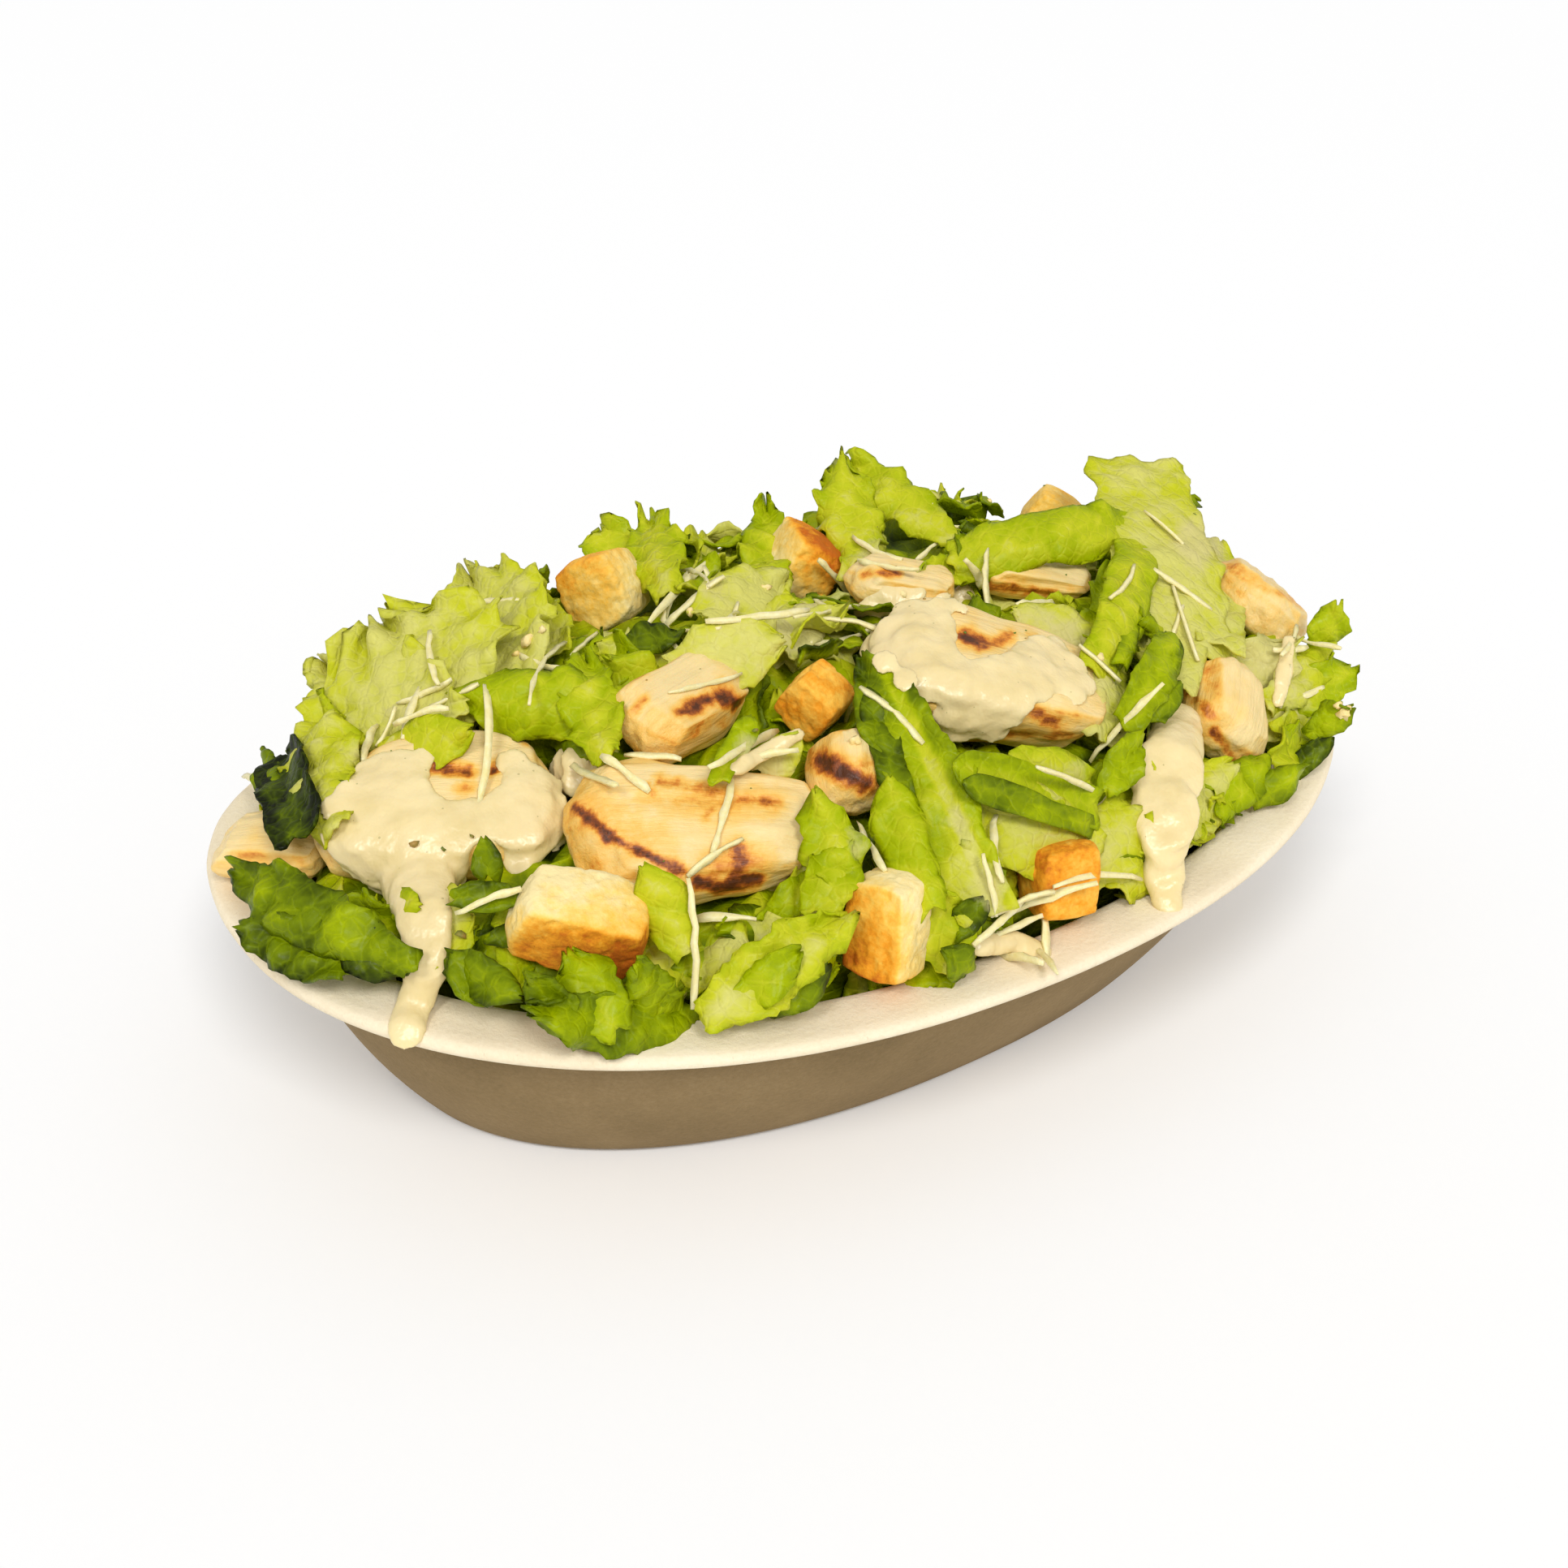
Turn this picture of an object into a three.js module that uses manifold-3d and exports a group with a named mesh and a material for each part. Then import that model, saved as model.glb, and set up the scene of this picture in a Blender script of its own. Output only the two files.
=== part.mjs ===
// Chicken caesar salad heaped in an oval moulded-fibre bowl.
// Millimetres, +Z up, +X along the bowl's length, origin at the middle of the bowl's base.
// The bowl is one thin shell with a flat flange round its mouth. The leaves are one heap that fills
// the bowl and mounds over the flange. Every crouton and every piece of chicken is a solid of its
// own, bedded in a pocket of the heap.
import * as THREE from "three";
import { mergeVertices } from "three/addons/utils/BufferGeometryUtils.js";
import Module from "manifold-3d";

const wasm = await Module();
wasm.setup();

// Bowl
const bowlLength = 230;
const bowlWidth = 160;
const rimHeight = 42;
const rimTwist = 3; // the ends of the mouth stand this much higher, and its sides lower
const twistStart = 4; // the wall is level up to this height
const ovalPower = 2.2; // 2 is an ellipse, more is squarer
const flangeWidth = 10;
const lipDrop = 2.4; // the flange's outer edge turns down this far
const wallThickness = 1.8;
const baseInset = 27; // from the mouth's outer edge to the edge of the flat base
const wallCurve = 1.8;
const soleInset = 3; // the base's rounded edge
const baseRing = 0.6; // share of the base's radius at which it has a ring of vertices
const lipThickness = 1.4;
const lipRounding = 0.8;
const floorRise = 1; // the inner face's rings lie this much above the outer face's
const turns = 44; // steps round the oval, shared by bowl and heap

// Heap of leaves
const heapHeight = 28; // crown above the rim
const heapFullness = 3.4; // how steep the mound's shoulders are
const edgeThickness = 4; // leaf edges that lie on the flange
const clearance = 0.4;
const restingInset = 8.5; // how far inside the mouth's outer edge the leaves usually stop
const edgeFrill = 0.7;
const edgeTaper = 0.2; // share of the way in over which the ripples rise
const clumpAtEdge = 0.35; // share of a clump's height that stands at the very edge
const rippleHeight = 1.4;

// Leaves that lie over the flange: direction round the bowl, spread and reach, in degrees and mm.
const overhangs = [
  { angle: 186, spread: 26, reach: 8 },
  { angle: 222, spread: 12, reach: 5 },
  { angle: -24, spread: 16, reach: 8 },
  { angle: 62, spread: 20, reach: 7 },
  { angle: 128, spread: 18, reach: 7 },
];

// Clumps of leaves that stand out of the mound.
const clumps = [
  { x: 97, y: 4, height: 34, spread: 11 },
  { x: 38, y: 36, height: 13, spread: 11 },
  { x: 92, y: -40, height: 14, spread: 12 },
  { x: -44, y: 48, height: 9, spread: 14 },
  { x: -80, y: 40, height: 9, spread: 13 },
  { x: -2, y: 48, height: 8, spread: 13 },
  { x: 66, y: 36, height: 10, spread: 14 },
];

// Toppings: centre, length, width and thickness in mm, and turns about X, Y and Z in degrees.
const croutons = [
  { at: [-26, 33, 71], size: [14, 14, 13], turn: [71, -54, 16] },
  { at: [12, 20, 73], size: [12, 15, 12], turn: [12, 30, -20] },
  { at: [-17.6, -27.4, 70.2], size: [9.5, 9.5, 10], turn: [38, 10, 24] },
  { at: [80.5, 22.5, 66.6], size: [13, 12, 11], turn: [20, 25, 40] },
  { at: [-30, -66, 50], size: [10, 11, 17], turn: [-8, 8, 18] },
  { at: [4, -68, 48], size: [11, 11, 12], turn: [-14, 6, -12] },
  { at: [-74, -46, 56], size: [20, 12, 12], turn: [24, 6, -34] },
  { at: [-66, 53, 51], size: [14, 14, 13], turn: [-26, -18, 50] },
  { at: [4, 65, 51], size: [14, 13, 13], turn: [-34, 12, 28] },
  { at: [62, 56, 54], size: [13, 14, 12], turn: [-32, 20, -16] },
];
const chickens = [
  { at: [-49, -39, 60], size: [40, 24, 12], turn: [30, -4, -24] },
  { at: [-39, -18, 71], size: [24, 16, 11], turn: [24, 14, 20] },
  { at: [-80, -9, 60], size: [37, 27, 12], turn: [18, -12, -30] },
  { at: [15, -34, 68], size: [44, 26, 14], turn: [22, 6, -34] },
  { at: [48, -8, 71], size: [23, 11, 7], turn: [16, 6, -28] },
  { at: [21, -1, 73], size: [20, 12, 8], turn: [12, 8, -30] },
  { at: [93, -27, 61], size: [22, 20, 12], turn: [14, 38, 30] },
  { at: [63, -48, 54], size: [18, 17, 12], turn: [42, 18, 60] },
  { at: [-103, 9, 51.5], size: [21, 12, 8], turn: [10, -14, -44] },
  { at: [-21, -43, 64], size: [13, 13, 10], turn: [36, 22, -30] },
  { at: [-36, 62, 52], size: [22, 14, 11], turn: [-32, 8, -30] },
  { at: [36, 62, 52], size: [26, 17, 12], turn: [-38, 10, 12] },
];

const radians = THREE.MathUtils.degToRad;
const signedPower = (value, power) => Math.sign(value) * Math.abs(value) ** power;
const mouthRadius = bowlLength / 2;
const baseRadius = mouthRadius - baseInset;

// A lathe radius and direction as a point on the oval with the same distance to the mouth's edge.
function ovalPoint(radius, angle) {
  const inset = mouthRadius - Math.max(radius, baseRadius);
  const shrink = Math.min(1, radius / baseRadius);
  const reachX = (bowlLength / 2 - inset) * shrink;
  const reachY = (bowlWidth / 2 - inset) * shrink;
  return [
    reachX * signedPower(Math.cos(angle), 2 / ovalPower),
    reachY * signedPower(Math.sin(angle), 2 / ovalPower),
  ];
}

function twistAt(angle, z) {
  const share = Math.max(0, z - twistStart) / (rimHeight - twistStart);
  return rimTwist * Math.cos(2 * angle) * share ** 2;
}

// Turns a closed profile round the Z axis and moves every vertex by place(radius, angle, z, ring).
function ovalSolid(profile, place) {
  const points = profile.map(([radius, z]) => new THREE.Vector2(radius, z));
  const geometry = new THREE.LatheGeometry(points, turns);
  const position = geometry.getAttribute("position");
  for (let i = 0; i < position.count; i++) {
    const turn = Math.floor(i / profile.length) % turns;
    const ring = i % profile.length;
    const [radius, z] = profile[ring];
    position.setXYZ(i, ...place(radius, (turn / turns) * 2 * Math.PI, z, ring));
  }
  return closed(geometry);
}

function closed(geometry) {
  geometry.deleteAttribute("normal");
  geometry.deleteAttribute("uv");
  return mergeVertices(geometry, 1e-3);
}

// Radius of the wall's outer face at a height.
function wallRadius(z) {
  const below = 1 - Math.min(1, z / rimHeight);
  return mouthRadius - flangeWidth - (baseInset - flangeWidth) * below ** wallCurve;
}

const wallHeights = [2, 6, 12, 19, 27, 35];

function bowlProfile() {
  const outside = wallHeights.map((z) => [wallRadius(z), z]);
  const inside = wallHeights.map((z) => [wallRadius(z) - wallThickness, z + floorRise]).reverse();
  return [
    [0, 0],
    [baseRadius * baseRing, 0],
    [baseRadius - soleInset, 0],
    ...outside,
    [mouthRadius - flangeWidth, rimHeight - wallThickness],
    [mouthRadius - wallThickness, rimHeight - wallThickness],
    [mouthRadius - lipThickness, rimHeight - lipDrop],
    [mouthRadius - lipRounding / 4, rimHeight - lipDrop],
    [mouthRadius, rimHeight - lipDrop / 2],
    [mouthRadius - lipRounding, rimHeight],
    [mouthRadius - flangeWidth + lipRounding, rimHeight],
    [mouthRadius - flangeWidth - lipRounding, rimHeight - lipRounding],
    ...inside,
    [baseRadius - soleInset - wallThickness, wallThickness],
    [baseRadius * baseRing, wallThickness],
    [0, wallThickness],
  ];
}

function makeBowl() {
  return ovalSolid(bowlProfile(), (radius, angle, z) => [
    ...ovalPoint(radius, angle),
    z + twistAt(angle, z),
  ]);
}

// How far inside the mouth's outer edge the leaves stop in one direction.
function edgeInset(angle) {
  const reach = overhangs.map((leaf) => {
    const away = Math.cos(angle - radians(leaf.angle));
    return leaf.reach * Math.exp((away - 1) / (1 - Math.cos(radians(leaf.spread))));
  });
  const frill = edgeFrill * (Math.sin(7 * angle) + Math.sin(11 * angle + 1));
  return restingInset - Math.max(...reach) - frill;
}

// Height of the mound above the rim at a place, given its share of the way out to the edge.
function moundHeight(x, y, share) {
  const crown = heapHeight * (1 - share ** heapFullness);
  const ripple = rippleHeight * (Math.sin(x / 7 + 1) * Math.sin(y / 6) + Math.sin(x / 4 - y / 5));
  const standing = clumps.map(
    (clump) => clump.height * Math.exp(-((x - clump.x) ** 2 + (y - clump.y) ** 2) / clump.spread ** 2),
  );
  const inward = Math.min(1, (1 - share) / edgeTaper);
  const atEdge = Math.min(1, clumpAtEdge + inward);
  return crown + inward * ripple + atEdge * standing.reduce((sum, one) => sum + one, 0);
}

const topShares = [1, 0.96, 0.9, 0.81, 0.71, 0.6, 0.48, 0.34, 0.18, 0];

function heapProfile() {
  const wallInset = wallThickness + 2 * clearance;
  const wall = wallHeights.slice(1).map((z) => [wallRadius(z) - wallInset, z + floorRise]);
  const floor = wallThickness + clearance;
  const edge = rimHeight + 2 * clearance;
  return [
    [0, floor],
    [baseRadius * baseRing, floor],
    [baseRadius - soleInset - wallInset - clearance, floor],
    ...wall,
    [mouthRadius - flangeWidth - wallInset, rimHeight - clearance],
    [mouthRadius - flangeWidth - lipRounding, edge],
    [mouthRadius, edge], // the edge's underside, drawn in by edgeInset
    ...topShares.map((share) => [share * mouthRadius, rimHeight + edgeThickness]),
  ];
}

function makeHeap() {
  const profile = heapProfile();
  const underside = profile.length - topShares.length - 1;
  return ovalSolid(profile, (radius, angle, z, ring) => {
    if (ring < underside) return [...ovalPoint(radius, angle), z + twistAt(angle, z)];
    const [edgeX, edgeY] = ovalPoint(mouthRadius - edgeInset(angle), angle);
    const share = ring === underside ? 1 : topShares[ring - underside - 1];
    const [x, y] = [edgeX * share, edgeY * share];
    const lift = ring === underside ? 0 : moundHeight(x, y, share);
    return [x, y, z + twistAt(angle, z) * share ** 2 + lift];
  });
}

// A block with rounded corners and a slightly uneven shape. sharpness 2 is a ball, more is boxier.
function unevenBlock({ size, steps, sharpness, unevenness, slant, seed }) {
  const geometry = new THREE.BoxGeometry(2, 2, 2, ...steps);
  const position = geometry.getAttribute("position");
  const point = new THREE.Vector3();
  for (let i = 0; i < position.count; i++) {
    point.fromBufferAttribute(position, i);
    const reach = [point.x, point.y, point.z].map((side) => Math.abs(side) ** sharpness);
    point.multiplyScalar((reach[0] + reach[1] + reach[2]) ** (-1 / sharpness));
    const wobble = [
      Math.sin(2.1 * point.y + 1.3 * seed) + Math.sin(2.6 * point.z + 2.2 * seed),
      Math.sin(2.3 * point.z + 0.7 * seed) + Math.sin(2.9 * point.x + 1.9 * seed),
      Math.sin(2.2 * point.x + 1.1 * seed) + Math.sin(2.7 * point.y + 0.5 * seed),
    ];
    position.setXYZ(
      i,
      (size[0] / 2) * (point.x * (1 + unevenness * wobble[0]) + slant * point.z),
      (size[1] / 2) * point.y * (1 + unevenness * wobble[1] - slant * 0.5 * point.x),
      (size[2] / 2) * point.z * (1 + unevenness * wobble[2]),
    );
  }
  return closed(geometry);
}

const croutonForm = { steps: [3, 3, 3], sharpness: 7, unevenness: 0.035, slant: 0.04 };
const chickenForm = { steps: [4, 3, 3], sharpness: 3.6, unevenness: 0.06, slant: 0.14 };
const makeCrouton = (item, i) => unevenBlock({ ...croutonForm, size: item.size, seed: i + 1 });
const makeChicken = (item, i) => unevenBlock({ ...chickenForm, size: item.size, seed: i + 5 });

function placed(name, geometry, material, item) {
  const mesh = new THREE.Mesh(geometry, material);
  mesh.name = name;
  mesh.position.set(...item.at);
  mesh.rotation.set(...item.turn.map(radians));
  mesh.updateMatrixWorld(true);
  return mesh;
}

function toManifold(geometry) {
  return new wasm.Manifold(
    new wasm.Mesh({
      numProp: 3,
      vertProperties: new Float32Array(geometry.getAttribute("position").array),
      triVerts: new Uint32Array(geometry.index.array),
    }),
  );
}

function fromManifold(solid) {
  const { vertProperties, triVerts } = solid.getMesh();
  return new THREE.BufferGeometry()
    .setAttribute("position", new THREE.BufferAttribute(vertProperties, 3))
    .setIndex(new THREE.BufferAttribute(triVerts, 1));
}

// The room a topping takes in the heap: its own shape, grown by the clearance all round.
function pocketFor(mesh, item) {
  const grown = new THREE.Matrix4().makeScale(...item.size.map((side) => (side + 2 * clearance) / side));
  const geometry = mesh.geometry.clone().applyMatrix4(grown).applyMatrix4(mesh.matrixWorld);
  return toManifold(geometry);
}

const food = (color, roughness) => new THREE.MeshStandardMaterial({ color, roughness, metalness: 0 });
const fibre = food(0xd8c4a0, 0.9);
const lettuce = food(0x9dbb2c, 0.45);
const bread = food(0xe0a04a, 0.85);
const meat = food(0xf0d8a8, 0.6);

const croutonMeshes = croutons.map((item, i) =>
  placed(`crouton_${i + 1}`, makeCrouton(item, i), bread, item),
);
const chickenMeshes = chickens.map((item, i) =>
  placed(`chicken_${i + 1}`, makeChicken(item, i), meat, item),
);
const pockets = [
  ...croutonMeshes.map((mesh, i) => pocketFor(mesh, croutons[i])),
  ...chickenMeshes.map((mesh, i) => pocketFor(mesh, chickens[i])),
];
const heap = pockets.reduce((left, pocket) => left.subtract(pocket), toManifold(makeHeap()));
const heapMesh = new THREE.Mesh(fromManifold(heap), lettuce);
heapMesh.name = "salad_heap";
const bowlMesh = new THREE.Mesh(fromManifold(toManifold(makeBowl())), fibre);
bowlMesh.name = "bowl";

const salad = new THREE.Group();
salad.add(bowlMesh, heapMesh, ...croutonMeshes, ...chickenMeshes);

export default salad;
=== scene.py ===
import math
import random

import bmesh
import bpy
from mathutils import Matrix, Vector, noise
from mathutils.bvhtree import BVHTree


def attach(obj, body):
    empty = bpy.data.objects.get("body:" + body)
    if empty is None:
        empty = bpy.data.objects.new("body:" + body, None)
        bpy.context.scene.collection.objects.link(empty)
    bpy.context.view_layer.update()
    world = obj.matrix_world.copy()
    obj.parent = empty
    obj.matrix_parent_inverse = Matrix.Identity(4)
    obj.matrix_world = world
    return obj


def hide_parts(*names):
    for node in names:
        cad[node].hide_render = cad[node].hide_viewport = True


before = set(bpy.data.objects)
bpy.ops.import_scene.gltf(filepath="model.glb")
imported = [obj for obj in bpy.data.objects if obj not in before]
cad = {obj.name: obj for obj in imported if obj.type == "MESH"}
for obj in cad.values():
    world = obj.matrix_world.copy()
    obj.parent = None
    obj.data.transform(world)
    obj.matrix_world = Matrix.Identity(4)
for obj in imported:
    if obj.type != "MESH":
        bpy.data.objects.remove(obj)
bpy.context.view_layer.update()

# Chicken caesar salad in an oval fibre bowl. Shapes are worked out in millimetres and their meshes
# are scaled to metres when they are finished.
mm = 0.001
goldenAngle = 2.39996  # turn between the spots of a sunflower's pattern
overhead = 140  # mm, over everything
toppingNames = sorted(name for name in cad if name.startswith(("crouton_", "chicken_")))


def srgb(red, green, blue):  # a screen colour, 0 to 255, as the linear colour that shaders take
    shares = [channel / 255 for channel in (red, green, blue)]
    linear = [s / 12.92 if s <= 0.04045 else ((s + 0.055) / 1.055) ** 2.4 for s in shares]
    return (*linear, 1.0)


def smooth(low, high, value):  # 0 below low, 1 above high, with a soft step between
    share = min(1.0, max(0.0, (value - low) / (high - low)))
    return share * share * (3 - 2 * share)


def mix(first, second, share):
    return first + (second - first) * share


view = {
    "azimuth": -33.75,
    "elevation": 29.43,
    "distance": 350.4,  # mm from the point it looks at
    "aim": (0.0, 0.0, 25.0),
    "aimRight": -4.8,
    "aimUp": 8.9,
    "farthest": 480.0,  # mm from the eye past which a ray has missed the salad
    "level": 350.0,  # mm from the eye at which a leaf lies that nothing carries
    "lens": 40.0,
    "sensor": 36.0,
    "pixels": 1932,  # side of the square frame that all pixel values below are given in
}
turnAngle = math.radians(view["azimuth"])
riseAngle = math.radians(view["elevation"])
toCamera = Vector(
    (
        math.sin(turnAngle) * math.cos(riseAngle),
        -math.cos(turnAngle) * math.cos(riseAngle),
        math.sin(riseAngle),
    )
)
viewRight = Vector((math.cos(turnAngle), math.sin(turnAngle), 0.0))
viewUp = toCamera.cross(viewRight)
aim = Vector(view["aim"]) + viewRight * view["aimRight"] + viewUp * view["aimUp"]
eye = aim + toCamera * view["distance"]
pixelsPerUnit = view["lens"] / view["sensor"] * view["pixels"]


def rayThrough(pixel):  # direction from the eye through a pixel
    across = (pixel[0] - view["pixels"] / 2) / pixelsPerUnit
    down = (pixel[1] - view["pixels"] / 2) / pixelsPerUnit
    return (viewRight * across - viewUp * down - toCamera).normalized()


def pixelOf(point):
    offset = point - eye
    scale = pixelsPerUnit / -offset.dot(toCamera)
    return view["pixels"] / 2 + offset.dot(viewRight) * scale, view["pixels"] / 2 - offset.dot(viewUp) * scale


def makeCamera():
    lens = bpy.data.cameras.new("camera")
    lens.lens = view["lens"]
    lens.sensor_width = view["sensor"]
    lens.clip_start = 0.01
    lens.clip_end = 20.0
    camera = bpy.data.objects.new("camera", lens)
    axes = Matrix((viewRight, viewUp, toCamera)).transposed().to_4x4()
    camera.matrix_world = Matrix.Translation(eye * mm) @ axes
    bpy.context.collection.objects.link(camera)
    bpy.context.scene.camera = camera


def treeOf(objects):  # surfaces to cast rays at, in millimetres
    points, faces = [], []
    for item in objects:
        first = len(points)
        points += [vert.co / mm for vert in item.data.vertices]
        faces += [[first + index for index in face.vertices] for face in item.data.polygons]
    return BVHTree.FromPolygons(points, faces)


def finish(bm, name, material):  # millimetre bmesh to a riding piece in metres
    bmesh.ops.scale(bm, vec=(mm, mm, mm), verts=bm.verts)
    mesh = bpy.data.meshes.new(name)
    bm.to_mesh(mesh)
    bm.free()
    mesh.polygons.foreach_set("use_smooth", [True] * len(mesh.polygons))
    piece = bpy.data.objects.new(name, mesh)
    bpy.context.collection.objects.link(piece)
    mesh.materials.append(material)
    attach(piece, "root")
    return piece


def copyOfNode(name):  # the CAD solid in millimetres, its loose triangles merged
    bm = bmesh.new()
    bm.from_mesh(cad[name].data)
    bmesh.ops.scale(bm, vec=(1 / mm, 1 / mm, 1 / mm), verts=bm.verts)
    bmesh.ops.remove_doubles(bm, verts=bm.verts, dist=0.01)
    bmesh.ops.recalc_face_normals(bm, faces=bm.faces)
    return bm


def relax(bm, rounds):
    axes = {"use_axis_x": True, "use_axis_y": True, "use_axis_z": True}
    for _ in range(rounds):
        bmesh.ops.smooth_vert(bm, verts=bm.verts, factor=0.5, **axes)
    bm.normal_update()


def push(bm, heightAt):  # moves every vertex along its normal by heightAt(vertex)
    moves = [(vert, vert.normal * heightAt(vert)) for vert in bm.verts]
    for vert, move in moves:
        vert.co += move
    bm.normal_update()


def refine(bm, cuts, rounds):  # finer faces, with the CAD facets smoothed away
    bmesh.ops.subdivide_edges(bm, edges=bm.edges, cuts=cuts, use_grid_fill=True)
    relax(bm, rounds)


def newMaterial(name):
    material = bpy.data.materials.new(name)
    material.use_nodes = True
    tree = material.node_tree
    tree.nodes.clear()
    return material, tree, add(tree, "TexCoord").outputs["Object"]


def feed(tree, socket, value):  # a node's output or a plain value
    if isinstance(value, bpy.types.NodeSocket):
        tree.links.new(value, socket)
    else:
        socket.default_value = value


def add(tree, kind, inputs=None, **settings):
    node = tree.nodes.new("ShaderNode" + kind)
    for name, value in settings.items():
        setattr(node, name, value)
    for name, value in (inputs or {}).items():
        feed(tree, node.inputs[name], value)
    return node


def calc(tree, operation, *values, clamp=False):
    node = add(tree, "Math", operation=operation, use_clamp=clamp)
    for socket, value in zip(node.inputs, values):
        feed(tree, socket, value)
    return node.outputs[0]


def vary(tree, base, pattern, amount, clamp=False):  # a pattern round 0.5 makes the base higher and lower
    change = calc(tree, "MULTIPLY", calc(tree, "SUBTRACT", pattern, 0.5), amount)
    return calc(tree, "ADD", base, change, clamp=clamp)


def lower(tree, base, pattern, amount, clamp=False):
    return calc(tree, "SUBTRACT", base, calc(tree, "MULTIPLY", pattern, amount), clamp=clamp)


def blend(tree, share, first, second):  # mix of two colours
    return add(tree, "Mix", {0: share, 6: first, 7: second}, data_type="RGBA").outputs[2]


def ramp(tree, value, stops):  # colour ramp from (place, colour) pairs
    node = add(tree, "ValToRGB", {0: value})
    elements = node.color_ramp.elements
    while len(elements) < len(stops):
        elements.new(0.5)
    for element, (place, colour) in zip(elements, stops):
        element.position = place
        element.color = colour
    return node.outputs[0]


def grain(tree, coords, perMm, detail=3.0, roughness=0.55):  # noise with so many cells per millimetre
    inputs = {"Vector": coords, "Scale": perMm / mm, "Detail": detail, "Roughness": roughness}
    return add(tree, "TexNoise", inputs).outputs[0]


def attribute(tree, name):
    return add(tree, "Attribute", attribute_name=name).outputs["Fac"]


def bump(tree, height, millimetres):
    return add(tree, "Bump", {"Height": height, "Strength": 1.0, "Distance": millimetres * mm}).outputs[0]


def output(tree, shader):
    add(tree, "OutputMaterial", {"Surface": shader})


def surface(tree, look, colour, relief):
    inputs = {"Base Color": colour, "Roughness": look["roughness"], "Normal": relief}
    inputs["Specular IOR Level"] = look.get("shine", 0.5)
    if "soft" in look:  # share of the light that goes into it, and how far each of its colours gets
        weight, radius = look["soft"]
        inputs.update({"Subsurface Weight": weight, "Subsurface Radius": radius, "Subsurface Scale": 1.0})
    output(tree, add(tree, "BsdfPrincipled", inputs).outputs[0])


leafPattern = {
    "sheet": 60.0,  # mm of leaf across one unit of UV
    "veinPitch": 6.5,
    "veinSlant": 1.1,
    "ribHalf": 1.9,
    "warp": 6.0,  # mm by which the veins stray
}
leafLook = {
    # The darkest end of these tones also gives the painted shade of hollows and of leaves that lie in shade.
    "tones": [  # from the pale heart leaves to the dark outer ones
        (0.0, srgb(236, 232, 128)),
        (0.22, srgb(224, 226, 46)),
        (0.45, srgb(188, 204, 0)),
        (0.7, srgb(132, 152, 0)),
        (0.88, srgb(74, 90, 0)),
        (1.0, srgb(26, 33, 0)),
    ],
    "patches": (0.11, 3.0),  # cells per mm and detail of each pattern
    "speckle": (0.75, 3.0),
    "film": (0.2, 4.0, 0.65),
    "pores": (1.6, 2.0),
    "wetness": (0.3,),
    "cells": 0.42,
    "patchTone": 0.34,  # how far each pattern changes the tone
    "speckleTone": 0.16,
    "veinTone": 0.05,
    "netTone": 0.06,
    "ribTone": 0.3,
    "milkColour": srgb(236, 226, 158),  # thin dressing on a leaf
    "milkStart": 0.76,
    "milkGain": 3.2,
    "milkMost": 0.75,
    "dents": 0.35,
    "relief": 0.28,
    "driest": 0.55,
    "wettest": 0.3,
    "through": 0.34,  # share of the light that comes from behind a leaf
}


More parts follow.
